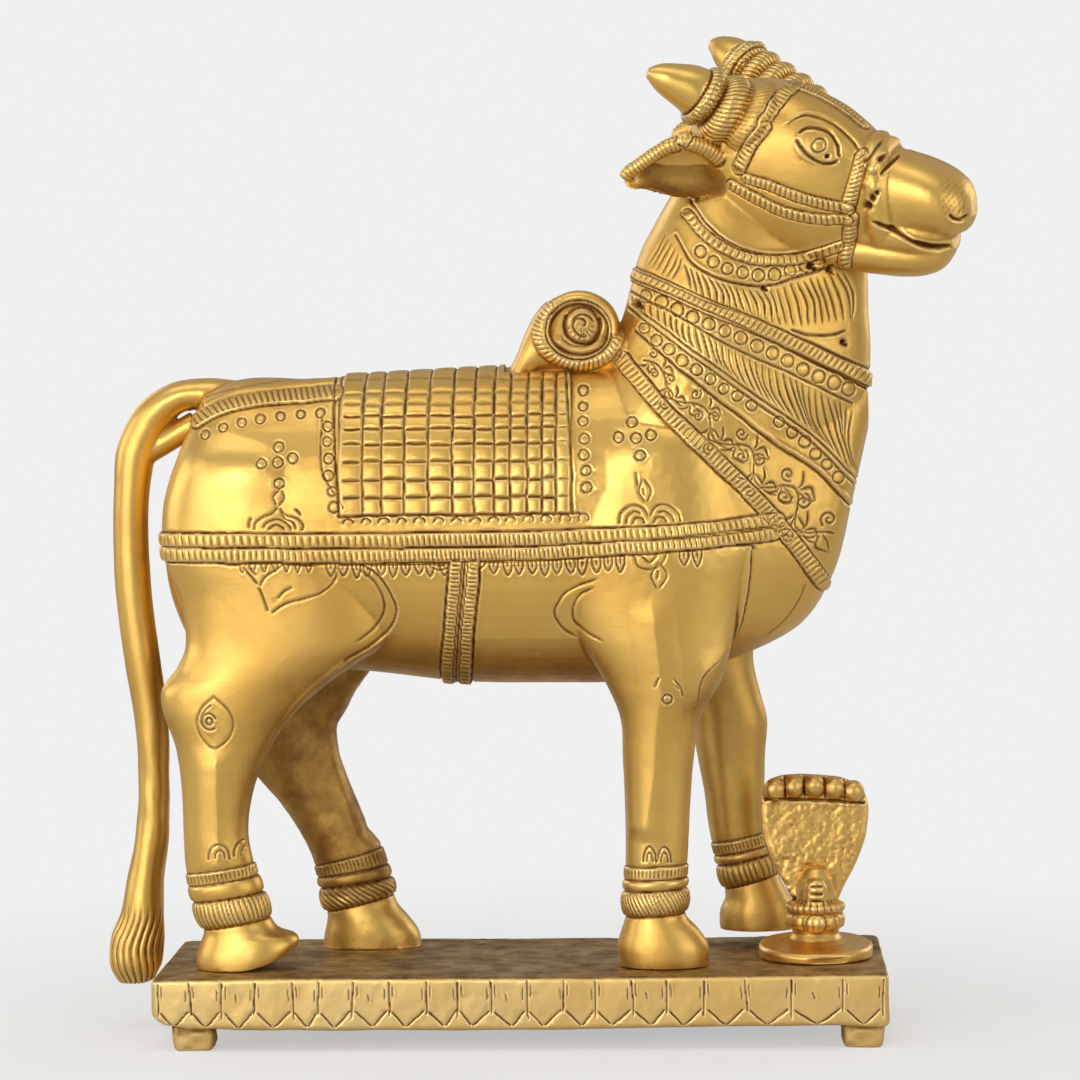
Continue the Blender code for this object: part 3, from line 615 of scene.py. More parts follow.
def curve(points, step=0.7):
    """Smooth line through the points given, in short even steps."""
    points = np.asarray(points, float)
    length = np.linalg.norm(np.diff(points, axis=0), axis=1).sum()
    return blend(points, max(3, int(length / step) + 1))


def run_along(line):
    """Length run at each point of a line, from its start."""
    return np.concatenate(([0.0], np.cumsum(np.linalg.norm(np.diff(line, axis=0), axis=1))))


def at_runs(line, runs, wanted):
    """Places on a line at the lengths wanted."""
    return np.stack([np.interp(wanted, runs, line[:, axis]) for axis in range(line.shape[1])], axis=-1)


def spaced(points, step):
    """Places at an even step along a smooth line."""
    line = curve(points)
    runs = run_along(line)
    return at_runs(line, runs, np.arange(0.0, runs[-1] + step / 4, step))


def at_share(points, shares):
    """Places at shares of the length along a smooth line."""
    line = curve(points)
    runs = run_along(line)
    return at_runs(line, runs, np.asarray(shares) * runs[-1])


# Seeds of the hand's wander, two for each axis
HAND_SEEDS = (31, 32, 33, 34, 35, 36)


class Skin:
    """A casting's skin while it is chased: its points, their outward ways, and what is laid on or cut."""

    def __init__(self, item):
        self.item = item
        self.places = places_of(item.data)
        self.ways = places_of(item.data, "normal")
        self.lift = np.zeros(len(self.places))
        self.cut = np.zeros(len(self.places))
        # how dark each point is painted: real tarnish, pits and toned tops, and painted shade under the
        # belly, on the inner legs and in the ears' hollows
        self.rough = np.zeros(len(self.places))

    def ground(self, inside, flat, share=None):
        """Stretch of the skin to lay ornament out on, with a hand's wander in every line."""
        which = np.flatnonzero(inside)
        spots = flat[which].astype(float)
        for axis, (first, second) in enumerate(zip(HAND_SEEDS[::2], HAND_SEEDS[1::2])):
            if axis < spots.shape[1]:
                wander = 0.22 * lumps(self.places[which], 6.0, first)
                wander += 0.09 * lumps(self.places[which], 1.9, second)
                spots[:, axis] += wander
        return Ground(self, which, spots, None if share is None else share[which])

    def chased(self):
        """Places after all the ornament."""
        return self.places + self.ways * (self.lift - self.cut)[:, None]


class Ground:
    """Points of a skin with flat or solid places, and how much of a cut each takes."""

    def __init__(self, skin, which, flat, share=None):
        self.skin = skin
        self.which = which
        self.flat = flat
        self.share = np.ones(len(which)) if share is None else share

    def near(self, line, reach):
        """Points within reach of a line: numbers, signed distance, place along, and its length."""
        line = np.asarray(line, float)
        box = (self.flat > line.min(0) - reach) & (self.flat < line.max(0) + reach)
        close = np.flatnonzero(box.all(axis=1))
        spots = self.flat[close]
        best = np.full(len(close), np.inf)
        along = np.zeros(len(close))
        side = np.ones(len(close))
        run = 0.0
        for start, end in zip(line[:-1], line[1:]):
            way = end - start
            length = np.linalg.norm(way)
            gap = spots - start
            share = np.clip(gap @ way / length**2, 0.0, 1.0)
            gap -= share[:, None] * way
            distance = np.einsum("ij,ij->i", gap, gap)
            closer = distance < best
            best[closer] = distance[closer]
            along[closer] = run + share[closer] * length
            if line.shape[1] == 2:
                side[closer] = np.where(way[0] * gap[closer, 1] > way[1] * gap[closer, 0], 1.0, -1.0)
            run += length
        found = best < reach**2
        return close[found], np.sqrt(best[found]) * side[found], along[found], run

    def lay(self, points, height):
        """Raise points to at least a height."""
        whole = self.which[points]
        self.skin.lift[whole] = np.maximum(self.skin.lift[whole], height * self.share[points])

    def add(self, points, height):
        """Raise points by a height."""
        self.skin.lift[self.which[points]] += height * self.share[points]

    def carve(self, points, depth):
        """Cut points to at least a depth."""
        whole = self.which[points]
        self.skin.cut[whole] = np.maximum(self.skin.cut[whole], depth * self.share[points])

    def engrave(self, line, depth=0.34, width=0.26, taper=0.0, burr=0.07):
        """Cut a fine line, with a little metal thrown up beside it."""
        points, away, along, length = self.near(line, width * 5)
        ends = np.ones(len(points))
        if taper:
            ends = soft_step(along / taper) * soft_step((length - along) / taper)
        self.carve(points, depth * ends * np.exp(-((away / (width * (0.5 + 0.5 * ends))) ** 2)))
        self.add(points, burr * ends * np.exp(-(((np.abs(away) - width * 2.3) / width) ** 2)))

    def gouge(self, line, depth=0.5, width=0.45):
        """Lens-shaped cut, widest and deepest at its middle."""
        points, away, along, length = self.near(line, width * 3)
        fullness = np.sqrt(np.clip(1.0 - (2.0 * along / length - 1.0) ** 2, 0.0, 1.0))
        self.carve(points, depth * fullness * np.exp(-((away / (width * (0.25 + 0.75 * fullness))) ** 2)))

    def pit(self, x, z, size, half, share, depth):
        """Casting pit, dark inside, a little longer along x by a half length."""
        points, away, _, _ = self.near(((x - half, z), (x + half, z)), size * 2)
        hollow = np.exp(-((away / (share * size)) ** 2))
        self.carve(points, depth * hollow)
        self.skin.rough[self.which[points]] += hollow

    def ridge(self, line, half, height, sharp=1.0):
        """Raised line with a rounded or sharp crown."""
        points, away, _, _ = self.near(line, half)
        self.add(points, height * (1.0 - np.abs(away) / half) ** sharp)

    def step(self, line, drop, reach):
        """Ledge: the skin to the line's left stands up by the drop, fading over the reach."""
        points, away, _, _ = self.near(line, reach)
        rise = np.where(away > 0, drop * (1.0 - away / reach) ** 2, 0.0)
        self.add(points, rise * soft_step(away / 0.4))

    def strap(self, line, half, height, pitch=0.0, depth=0.4, lean=0.0, edge=0.35, border=0.3):
        """Raised strap, cut into teeth at a pitch, with a fine groove along both edges."""
        points, away, along, _ = self.near(line, half + 1.2)
        across = np.abs(away) / half
        body = soft_step((half - np.abs(away)) / edge + 0.5)
        self.lay(points, height * body)
        self.carve(points, border * np.exp(-(((np.abs(away) - half - 0.15) / 0.26) ** 2)))
        if pitch:
            tooth = rounded_tooth(along + lean * away, pitch)
            crown = np.clip(1.0 - across**4, 0.0, 1.0)
            inner = soft_step((1.0 - across) / 0.25)
            self.carve(points, depth * inner * (1.0 - tooth * crown))

    def punch(self, x, z, radius=1.28, depth=0.36, width=0.25, dome=0.07):
        """Ring punch: a round groove with a domed middle and a thrown-up rim."""
        spread = radius + width * 4
        gaps = np.abs(self.flat[:, :2] - (x, z)).max(axis=1)
        close = np.flatnonzero(gaps < spread)
        away = np.hypot(self.flat[close, 0] - x, self.flat[close, 1] - z)
        self.carve(close, depth * np.exp(-(((away - radius) / width) ** 2)))
        self.add(close, dome * np.clip(1.0 - (away / radius) ** 2, 0.0, 1.0))
        self.add(close, 0.09 * np.exp(-(((away - radius - 0.55) / 0.25) ** 2)))

    def punches(self, points, step, radius=1.28, wander=0.16, skip=()):
        """Row of ring punches, each struck by hand and a little out of place."""
        for index, (x, z) in enumerate(spaced(points, step)):
            if index in skip:
                continue
            turn = index * 2.4 + x
            x += wander * math.sin(turn)
            z += wander * math.cos(turn * 1.7)
            self.punch(x, z, radius + 0.08 * math.sin(turn * 3.1))

    def settle(self, line):
        """The same line drawn down onto the skin."""
        return np.array([self.flat[np.argmin(((self.flat - place) ** 2).sum(axis=1))] for place in line])

    def strokes(self, upper, lower, count, lean=0.0, bow=0.0, depth=0.36, width=0.3, cover=(0.0, 1.0)):
        """Row of tapered strokes from one line to another, leaning and bowed."""
        shares = np.linspace(0.0, 1.0, count)
        tops = at_share(upper, shares)
        feet = at_share(lower, np.clip(shares + lean, 0.0, 1.0))
        for index, (top, foot) in enumerate(zip(tops, feet)):
            way = foot - top
            across = np.array([-way[1], way[0]])
            wobble = 0.04 * math.sin(index * 5.3)
            start = top + way * (cover[0] + abs(wobble))
            end = top + way * (cover[1] - abs(wobble) / 2)
            middle = (start + end) / 2 + across * (bow + wobble)
            self.gouge(curve((start, middle, end), 0.8), depth * (1 + wobble * 3), width)


# Ornament of the trunk and neck, seen from the side: x, z in mm
GIRTH_ROWS = (
    (((-110.0, 133.1), (12.0, 133.1), (30.0, 133.8), (46.0, 134.7), (64.0, 136.6)), 1.75, 2.0),
    (((-110.0, 129.3), (12.0, 129.4), (30.0, 130.4), (46.0, 131.5), (63.0, 133.2)), 1.75, 1.65),
)
GIRTH_LINES = (
    ((-110.0, 135.1), (12.0, 135.1), (28.0, 135.7), (44.0, 136.3), (62.0, 138.0)),
    ((-110.0, 127.3), (12.0, 127.4), (28.0, 128.7), (44.0, 129.6), (60.0, 131.6)),
)
FRINGE_FIRST, FRINGE_LAST, FRINGE_STEP = -53.0, 46.0, 3.3
FAINT_FRINGE = (-76.0, -56.0)
BELLY_STRAP = ((-17.8, 126.8), (-18.7, 118.0), (-20.0, 107.0), (-21.6, 95.4), (-22.0, 92.0))
BELLY_ROW_OFFSET = 2.35

BLANKET = (-50.6, 10.2, 139.1)
BLANKET_HEIGHT = 0.7
BLANKET_COLUMNS = (-44.5, -39.5, -33.5, -27.2, -20.9, -15.2, -10.0, -5.8, -1.3, 2.6, 6.2)
BLANKET_ROWS = (173.9, 170.5, 167.6, 164.6, 161.4, 157.4, 152.9, 148.2, 143.6)
BLANKET_TOP_ROWS = (0.0, 5.2)
BORDER_LOW = ((-50.6, 139.1), (12.6, 139.1))
BORDER_RINGS_LOW = ((-48.3, 137.0), (14.0, 137.6))
BORDER_RINGS_REAR = ((-53.8, 162.6), (-53.2, 150.0), (-51.7, 140.2))
BORDER_RINGS_FRONT = ((13.3, 171.4), (13.6, 156.0), (14.5, 143.0))
BORDER_STEP = 4.75
BORDER_LINE_REAR = ((-55.4, 165.0), (-54.6, 150.0), (-49.6, 141.4))

RUMP_STRAP = ((-89.5, 164.2), (-83.1, 167.3), (-74.1, 169.4), (-65.4, 170.3), (-51.9, 171.1))
RUMP_RIDGE = ((-87.0, 169.0), (-75.2, 172.1), (-64.8, 173.3), (-52.0, 173.9))
RUMP_RINGS = ((-86.6, 160.9), (-81.4, 162.8), (-71.3, 164.8), (-61.1, 166.0), (-53.4, 166.0))
RUMP_FLOWER = ((-66.5, 157.2), (-70.9, 152.9), (-66.7, 153.3), (-62.7, 154.3), (-66.4, 147.9))
RUMP_LEAVES = (
    ((-65.9, 146.6), (-67.9, 144.4), (-66.9, 141.9)),
    ((-65.9, 146.6), (-65.2, 144.2), (-66.7, 141.8)),
)
RUMP_ARCHES = (
    ((-72.8, 135.5), (-72.4, 137.8), (-70.3, 139.3), (-67.9, 140.3), (-66.6, 142.1)),
    ((-66.6, 141.9), (-64.5, 139.5), (-61.4, 138.4), (-60.1, 136.6), (-60.8, 135.1)),
    ((-66.2, 141.2), (-64.6, 138.6), (-62.6, 137.4), (-61.8, 135.4)),
    ((-70.8, 136.0), (-69.2, 137.8), (-66.6, 138.4), (-64.3, 137.5), (-62.9, 135.4)),
    ((-69.4, 135.6), (-66.8, 137.0), (-64.4, 135.6)),
    ((-74.2, 135.9), (-74.0, 138.0), (-73.1, 139.4)),
    ((-62.6, 141.4), (-61.4, 140.4), (-60.6, 139.2)),
)
THIGH_MOTIF = (
    ((-76.8, 127.2), (-74.1, 124.0), (-72.0, 121.1)),
    ((-72.0, 120.9), (-70.5, 117.4), (-69.3, 114.2)),
    ((-71.8, 120.6), (-70.4, 122.9), (-67.5, 125.0), (-64.8, 126.8)),
    ((-68.7, 114.0), (-65.0, 116.3), (-59.8, 117.7), (-55.4, 119.2), (-52.3, 122.0), (-51.2, 126.0)),
    ((-67.0, 117.5), (-64.8, 119.6), (-62.6, 120.6)),
    ((-74.6, 127.0), (-73.4, 124.8), (-72.0, 123.6)),
)
THIGH_CURVES = (
    (
        (-45.7, 126.8),
        (-41.1, 124.1),
        (-37.2, 118.6),
        (-36.2, 114.0),
        (-38.2, 109.2),
        (-43.6, 104.6),
        (-50.6, 100.4),
    ),
    ((-47.4, 126.0), (-42.7, 123.1), (-39.6, 118.4), (-39.3, 114.4), (-41.2, 110.4), (-47.8, 105.2)),
)
THIGH_EDGE = (
    (-50.6, 100.4), (-57.1, 95.1), (-61.9, 90.6), (-66.1, 84.7), (-70.8, 77.9),
    (-73.9, 70.6), (-76.4, 56.4),
)
SHOULDER_FLOWER = ((26.1, 162.7), (22.7, 158.9), (27.2, 158.6), (31.0, 159.3), (28.2, 154.1))
SHOULDER_STEMS = (
    ((27.2, 150.0), (27.6, 145.8)),
    ((29.0, 148.0), (27.9, 144.8), (29.7, 141.8)),
    ((29.0, 148.0), (31.0, 145.2), (30.0, 141.8)),
    ((28.9, 145.9), (29.3, 143.2)),
)
SHOULDER_ARCHES = (
    ((22.7, 136.0), (23.2, 139.4), (26.0, 141.2), (29.0, 140.4), (30.4, 138.3)),
    ((30.4, 138.3), (32.4, 141.0), (35.6, 141.2), (38.0, 139.2), (38.7, 136.5)),
    ((24.4, 136.0), (25.0, 138.4), (26.8, 139.6), (28.6, 139.0)),
    ((32.4, 139.2), (34.6, 139.6), (36.4, 138.4), (37.0, 136.5)),
    ((26.0, 136.1), (26.9, 137.9), (28.7, 137.8), (29.4, 136.2)),
    ((31.4, 136.2), (32.4, 138.0), (34.4, 137.9), (35.2, 136.4)),
)
SHOULDER_DROP = (
    ((26.4, 128.4), (27.4, 125.6), (30.2, 124.6), (33.4, 125.6), (35.0, 128.6)),
    ((28.4, 128.4), (30.4, 126.5), (32.8, 128.2)),
    ((32.9, 126.6), (30.9, 122.4), (32.4, 119.2)),
    ((32.9, 126.6), (34.9, 122.6), (32.6, 119.2)),
    ((32.5, 124.6), (32.4, 121.6)),
)
ELBOW_CURVES = (
    ((17.6, 122.3), (12.0, 120.4), (7.4, 117.2), (5.4, 113.0), (7.2, 109.2), (11.8, 106.0)),
    ((16.6, 120.0), (12.2, 117.9), (10.2, 114.6), (10.4, 111.2), (13.6, 108.0), (18.8, 105.0)),
)
FRONT_LEG_EDGE = (
    (42.4, 90.0),
    (43.9, 96.0),
    (48.4, 100.4),
    (52.3, 105.7),
    (55.1, 112.8),
    (56.3, 119.5),
    (56.8, 128.6),
)
CHEST_LINE = ((71.9, 120.4), (69.8, 115.6), (66.1, 110.3), (60.4, 105.0))
FRONT_LEG_MOTIF = (
    ((33.0, 96.6), (32.0, 95.3), (31.3, 93.5)),
    ((36.2, 96.2), (38.0, 93.9), (38.8, 90.7)),
    ((36.8, 94.6), (38.0, 92.6)),
)

# Collars of the neck, seen from the side
THROAT_EDGE = (
    (41.6, 221.0), (46.3, 214.3), (51.5, 209.7), (58.2, 206.8), (65.1, 205.9),
    (75.0, 207.6), (81.0, 209.3),
)
THROAT_STRAP = (
    (41.0, 217.0), (44.9, 212.2), (50.1, 208.2), (56.9, 205.2), (65.0, 204.3),
    (75.1, 206.1), (82.5, 208.4),
)
THROAT_RINGS = ((44.4, 206.9), (51.6, 202.4), (60.5, 200.7), (70.6, 202.5), (75.6, 203.8))
THROAT_LOW = (
    (38.0, 211.4), (42.5, 203.8), (47.7, 200.6), (56.3, 198.1), (61.6, 197.9),
    (71.1, 200.6), (79.0, 202.9),
)
NAPE_STROKES = (((35.4, 212.5), (39.6, 206.0)), ((30.4, 203.4), (36.6, 199.9)))
UPPER_STROKES = (
    ((39.8, 204.4), (47.7, 200.2), (56.3, 197.6), (62.6, 197.6), (68.0, 199.2), (82.0, 202.4)),
    ((40.6, 197.3), (49.6, 192.8), (58.2, 189.7), (66.6, 186.8), (74.0, 186.6), (84.6, 188.0)),
)
UPPER_ARC = ((67.4, 186.4), (73.3, 184.9), (78.9, 184.8), (83.4, 186.2))
BAND_TOP = ((25.0, 203.6), (38.5, 197.6), (47.6, 193.3), (56.2, 190.2), (70.9, 183.8), (90.0, 175.2))
BAND_LOW = ((25.0, 200.8), (38.5, 195.0), (46.8, 191.2), (62.2, 183.9), (75.3, 176.9), (90.0, 169.6))
BAND_RINGS = (
    (30.0, 195.6), (35.4, 193.4), (40.0, 191.3), (48.9, 187.0), (58.5, 182.7),
    (70.8, 176.0), (83.0, 170.4),
)
MANE_TOP = ((26.0, 196.8), (40.5, 189.2), (53.5, 181.4), (65.3, 176.1), (84.0, 166.8))
MANE_LOW = ((26.2, 193.8), (36.3, 185.8), (49.0, 176.5), (59.9, 168.3), (73.0, 158.8), (86.0, 145.8))
COLLAR_RINGS = ((29.6, 186.9), (33.1, 183.8), (43.8, 175.6), (55.2, 168.1), (69.9, 158.1), (81.0, 146.6))
COLLAR_LOW = ((27.0, 186.5), (38.3, 176.5), (47.4, 169.3), (60.6, 158.6), (75.0, 148.4), (84.0, 139.0))
COLLAR_STRAP = ((23.6, 179.0), (33.8, 166.6), (45.4, 155.0), (55.7, 144.9), (65.9, 133.2), (76.0, 119.4))
NECK_PITS = (
    (82.0, 182.9, 0.9), (27.6, 193.6, 1.1), (61.1, 197.4, 0.8), (73.6, 203.1, 1.2),
    (78.4, 202.0, 0.8),
)
CREEPER = ((29.5, 178.8), (38.6, 169.6), (48.5, 160.2), (58.4, 150.4), (68.0, 140.8), (76.0, 130.5))

# Ornament of the head: forward, up
CHEEK_ROWS = (
    ((12.4, 2.7), (17.2, 1.1), (25.9, -2.8), (34.6, -5.9), (38.4, -6.9)),
    ((8.0, 0.8), (15.1, -3.2), (23.1, -7.0), (30.7, -9.2), (37.6, -9.9)),
)
NOSE_ROPE = (
    ((42.0, 5.6), (41.0, 1.8), (39.6, -2.6), (38.3, -6.6)),
    ((38.8, -9.4), (37.8, -13.6), (36.4, -18.2), (35.2, -22.4)),
)
NOSE_LOOPS = (
    ((47.3, 9.4), (45.0, 7.0), (43.1, 4.6)),
    ((51.4, 5.4), (49.6, 4.0), (47.6, 1.6)),
)
NOSE_KNOTS = ((44.9, 2.6, 1.3), (43.0, -0.6, 1.1), (45.6, -1.6, 1.2))
NOSE_PITS = ((44.9, -4.3, 1.15), (43.5, -6.3, 1.2), (46.2, -3.2, 0.7), (46.9, 4.9, 0.8))
MOUTH = ((43.6, -10.2), (49.2, -13.1), (53.7, -16.3), (57.8, -18.8), (63.4, -20.6))
MOUTH_GAP = ((54.0, -16.6), (58.2, -18.6), (63.6, -20.0))
LIP_FOLD = ((52.4, -14.0), (56.6, -15.8), (61.0, -17.4), (65.0, -17.8))
NOSTRIL = ((64.0, -9.6), (65.2, -11.3), (66.6, -11.9), (68.0, -11.0))
UPPER_LID = ((26.3, 13.2), (28.9, 14.4), (31.6, 14.0), (34.2, 12.6), (36.2, 9.8), (36.9, 6.1))
LOWER_LID = ((26.0, 12.4), (27.2, 10.2), (29.2, 7.8), (31.8, 6.0), (34.4, 5.2), (36.9, 6.0))
IRIS = (31.8, 9.9, 1.65)
BROW = ((24.6, 16.4), (27.6, 17.4), (30.6, 16.7), (33.9, 15.0), (37.0, 12.6), (39.6, 9.8), (41.8, 6.4))
BROW_PIT = (33.9, 7.1, 0.55)

# Head straps that cross its top: forward, sideways, up
BROWBAND = ((10.6, 16.4, 5.6), (14.6, 15.4, 12.0), (18.2, 12.4, 17.6), (21.4, 6.4, 21.8), (23.3, 0.0, 22.9))
FOREHEAD_STRAP = ((24.0, 0.0, 22.6), (30.0, 0.0, 20.0), (35.0, 0.0, 17.0), (40.0, 0.0, 12.6))

# Anklets: the leg, its side, its middle x, then four edges from the top down as height and slope
ANKLETS = (
    (NEAR_HIND, -1, -82.5, ((46.2, 0.15), (42.9, 0.15), (38.3, 0.14), (31.0, 0.17)), 1.3, 0.0),
    (NEAR_FRONT, -1, 31.0, ((46.0, 0.03), (42.6, 0.04), (39.7, 0.05), (33.1, 0.065)), 1.15, 0.5),
    (FAR_HIND, 1, -52.0, ((44.4, 0.27), (40.2, 0.18), (36.8, 0.15), (31.0, 0.24)), 2.1, 1.1),
    (FAR_FRONT, 1, 55.0, ((48.9, 0.21), (45.3, 0.21), (42.6, 0.23), (36.3, 0.28)), 1.7, 0.0),
)
TICK_PITCH = 1.2
LEG_RIDGES = (
    (((-84.2, 80.4), (-84.0, 66.0), (-83.6, 43.0)), 7.0, 1.15),
    (((31.0, 118.0), (31.8, 106.0), (32.8, 96.0), (31.6, 80.0), (30.2, 66.0), (27.6, 52.0)), 6.5, 0.85),
)
HIP_OVAL = (
    (-84.0, 91.9), (-87.6, 89.0), (-89.0, 85.2), (-87.8, 81.6), (-84.2, 78.5),
    (-80.6, 80.8), (-79.0, 84.6), (-80.4, 88.8), (-84.0, 91.9),
)
HIP_EYE = (-85.4, 85.6)
LEG_STAMPS = ((-83.6, 50.4), (-77.4, 51.0))
HOCK_GROOVE = ((-56.0, 86.0), (-53.0, 74.0), (-48.6, 60.0), (-46.6, 52.0))
FRONT_STAMP = (31.6, 48.4)


def spiral(x, z, start, end, turns, first=0.0, steps=28):
    """Points of a spiral round a middle."""
    angles = np.linspace(first, first + turns * 2 * math.pi, steps)
    radii = np.linspace(start, end, steps)
    return np.stack([x + radii * np.cos(angles), z + radii * np.sin(angles)], axis=-1)


def arc(x, z, wide, high, first=0.0, last=math.pi, steps=14):
    """Points of part of an ellipse."""
    angles = np.linspace(first, last, steps)
    return np.stack([x + wide * np.cos(angles), z + high * np.sin(angles)], axis=-1)


def chase_girth(flank):
    """Two rows of teeth round the barrel, and the petal fringe that hangs from them."""
    turned = np.abs(flank.skin.ways[flank.which, 0]) > 0.75
    across = flank.skin.places[flank.which, 1]
    for line, half, pitch in GIRTH_ROWS:
        points, away, along, _ = flank.near(curve(line, 3.0), half + 1.0)
        body = soft_step((half + 0.2 - np.abs(away)) / 0.5)
        flank.lay(points, 0.95 * body)
        place = np.where(turned[points], across[points], along)
        tight = 1.0 - 0.16 * soft_step((place - 60.0) / 60.0)
        tooth = rounded_tooth(place * 1.0 / tight + 0.12 * away, pitch, 0.55)
        crown = np.clip(1.0 - (np.abs(away) / half) ** 4, 0.0, 1.0)
        flank.carve(points, 0.42 * soft_step((half - np.abs(away)) / 0.4) * (1.0 - tooth * crown))
        flank.carve(points, 0.4 * np.exp(-(((np.abs(away) - half - 0.12) / 0.28) ** 2)))
    for line in GIRTH_LINES:
        flank.engrave(curve(line, 3.0), 0.3, 0.26, burr=0.05)
    for index, x in enumerate(np.arange(FRINGE_FIRST, FRINGE_LAST, FRINGE_STEP)):
        if abs(x - BELLY_STRAP[0][0]) < 5.0 or abs(x - 31.5) < 5.5:
            continue
        top = float(np.interp(x, *zip(*GIRTH_LINES[1])))
        tip = top - 4.1 + 0.35 * math.sin(index * 2.1)
        lean = 0.25 * math.sin(index * 3.7)
        left = ((x - 1.15, top), (x - 1.0 + lean, top - 2.4))
        right = ((x + 1.0 + lean, top - 2.4), (x + 1.15, top))
        petal = (*left, (x + lean, tip), *right)
        flank.engrave(curve(petal, 0.5), 0.3, 0.27)
        flank.gouge(((x, top - 0.5), (x + lean, top - 2.5)), 0.25, 0.3)
    for index, x in enumerate(np.arange(*FAINT_FRINGE, 2.9)):
        flank.engrave(curve(((x - 0.9, 127.2), (x, 124.6), (x + 0.9, 127.2)), 0.5), 0.2, 0.24)
    for x in (-24.2, -15.0):
        for size in (2.9, 1.7):
            flank.engrave(arc(x, 127.3, size, size * 0.9, math.pi, 2 * math.pi), 0.32, 0.28)


def chase_belly_strap(flank):
    """Two ticked cords down the barrel with a line between them."""
    line = curve(BELLY_STRAP, 1.5)
    points, away, along, _ = flank.near(line, 5.0)
    flank.lay(points, 0.7 * soft_step((4.0 - np.abs(away)) / 0.6))
    for side in (-1, 1):
        row = line + np.array((side * BELLY_ROW_OFFSET, 0.0))
        flank.strap(row, 1.45, 1.05, 1.05, 0.4)
    flank.engrave(line, 0.5, 0.4)
    for side in (-1, 1):
        flank.engrave(line + np.array((side * 4.1, 0.0)), 0.4, 0.3)


def chase_blanket(flank):
    """Saddle cloth over the barrel: a padded grid with lens-shaped cuts, and a border of rings."""
    rear, front, low = BLANKET
    x, z = flank.flat.T
    across = np.abs(flank.skin.places[flank.which, 1] - BULL_Y)
    inside = np.minimum.reduce([x - rear, front - x, z - low])
    near = np.flatnonzero(inside > -1.0)
    flank.lay(near, BLANKET_HEIGHT * soft_step(inside[near] / 0.6 + 0.5))
    edges = np.array((rear, *BLANKET_COLUMNS, front))
    cell = np.clip(np.searchsorted(edges, x[near]) - 1, 0, len(edges) - 2)
    width = edges[cell + 1] - edges[cell]
    place = (x[near] - edges[cell]) / width
    column_gap = np.minimum(place, 1.0 - place) * width
    sway = 0.12 * np.sin(z[near] * 0.55 + cell * 1.9)
    groove = 0.5 * np.exp(-(((column_gap + sway * 0.5) / 0.36) ** 2))
    groove = np.where((cell == 0) & (place < 0.5), 0.0, groove)
    flank.carve(near, groove * soft_step(inside[near] / 0.5 + 0.5))
    fullness = np.sqrt(np.clip(1.0 - (2.0 * place - 1.0) ** 2, 0.0, 1.0))
    fullness = np.where(cell == 0, np.sqrt(np.clip(1.0 - (2.4 * place - 1.3) ** 2, 0.0, 1.0)) * 0.8, fullness)
    fullness = np.where(cell == len(edges) - 2, 0.35 * fullness, fullness)
    cuts = np.zeros(len(near))
    for row, level in enumerate(BLANKET_ROWS):
        wobble = 0.22 * np.sin(cell * 2.3 + row * 4.1)
        gap = np.abs(z[near] - level - wobble)
        strength = 0.55 if level > 166.0 else 1.0
        cuts = np.maximum(cuts, strength * np.exp(-((gap / (0.12 + 0.42 * fullness)) ** 2)))
    for level in BLANKET_TOP_ROWS:
        gap = np.abs(across[near] - level)
        cuts = np.maximum(cuts, 0.6 * np.exp(-((gap / 0.4) ** 2)) * (z[near] > 171.0))
    flank.carve(near, 0.52 * np.clip(fullness * 1.6, 0.0, 1.0) * cuts * (inside[near] > 0.2))
    flank.add(near, 0.22 * np.sin(math.pi * np.clip(place, 0.0, 1.0)) * (inside[near] > 0.3))
    rear_line = ((rear, 139.0), (rear - 1.2, 156.0), (rear - 2.2, 178.0))
    front_line = ((front + 0.4, 139.0), (front - 0.4, 160.0), (front - 1.6, 178.0))
    for line in (rear_line, front_line):
        flank.engrave(curve(line, 2.0), 0.5, 0.34)
    flank.engrave(BORDER_LOW, 0.5, 0.32)
    flank.engrave(curve(BORDER_LINE_REAR, 2.0), 0.26, 0.26)
    for line in (BORDER_RINGS_LOW, BORDER_RINGS_REAR, BORDER_RINGS_FRONT):
        flank.punches(line, BORDER_STEP if line is BORDER_RINGS_LOW else 4.25)


def chase_rump(flank):
    """Strap, ridge and rings over the rump, and its flower on an arched foot."""
    flank.strap(curve(RUMP_STRAP), 1.7, 0.8, 1.55, 0.4, lean=0.35)
    flank.ridge(curve(RUMP_RIDGE), 1.1, 0.7, 0.7)
    flank.engrave(curve(RUMP_RIDGE) + np.array((0.0, 1.5)), 0.3, 0.3)
    flank.punches(RUMP_RINGS, 5.2, 1.15)
    for x, z in RUMP_FLOWER:
        flank.punch(x, z, 1.3)
    for line in RUMP_LEAVES + RUMP_ARCHES:
        flank.engrave(curve(line, 0.5), 0.26, 0.32, taper=0.8, burr=0.03)


def chase_flank_motifs(flank):
    """Flower and arches on the shoulder, leaf under the girth and the lines of thigh and elbow."""
    for x, z in SHOULDER_FLOWER:
        flank.punch(x, z, 1.3)
    for line in SHOULDER_STEMS + SHOULDER_ARCHES + SHOULDER_DROP + THIGH_MOTIF:
        flank.engrave(curve(line, 0.5), 0.26, 0.33, taper=0.7, burr=0.03)


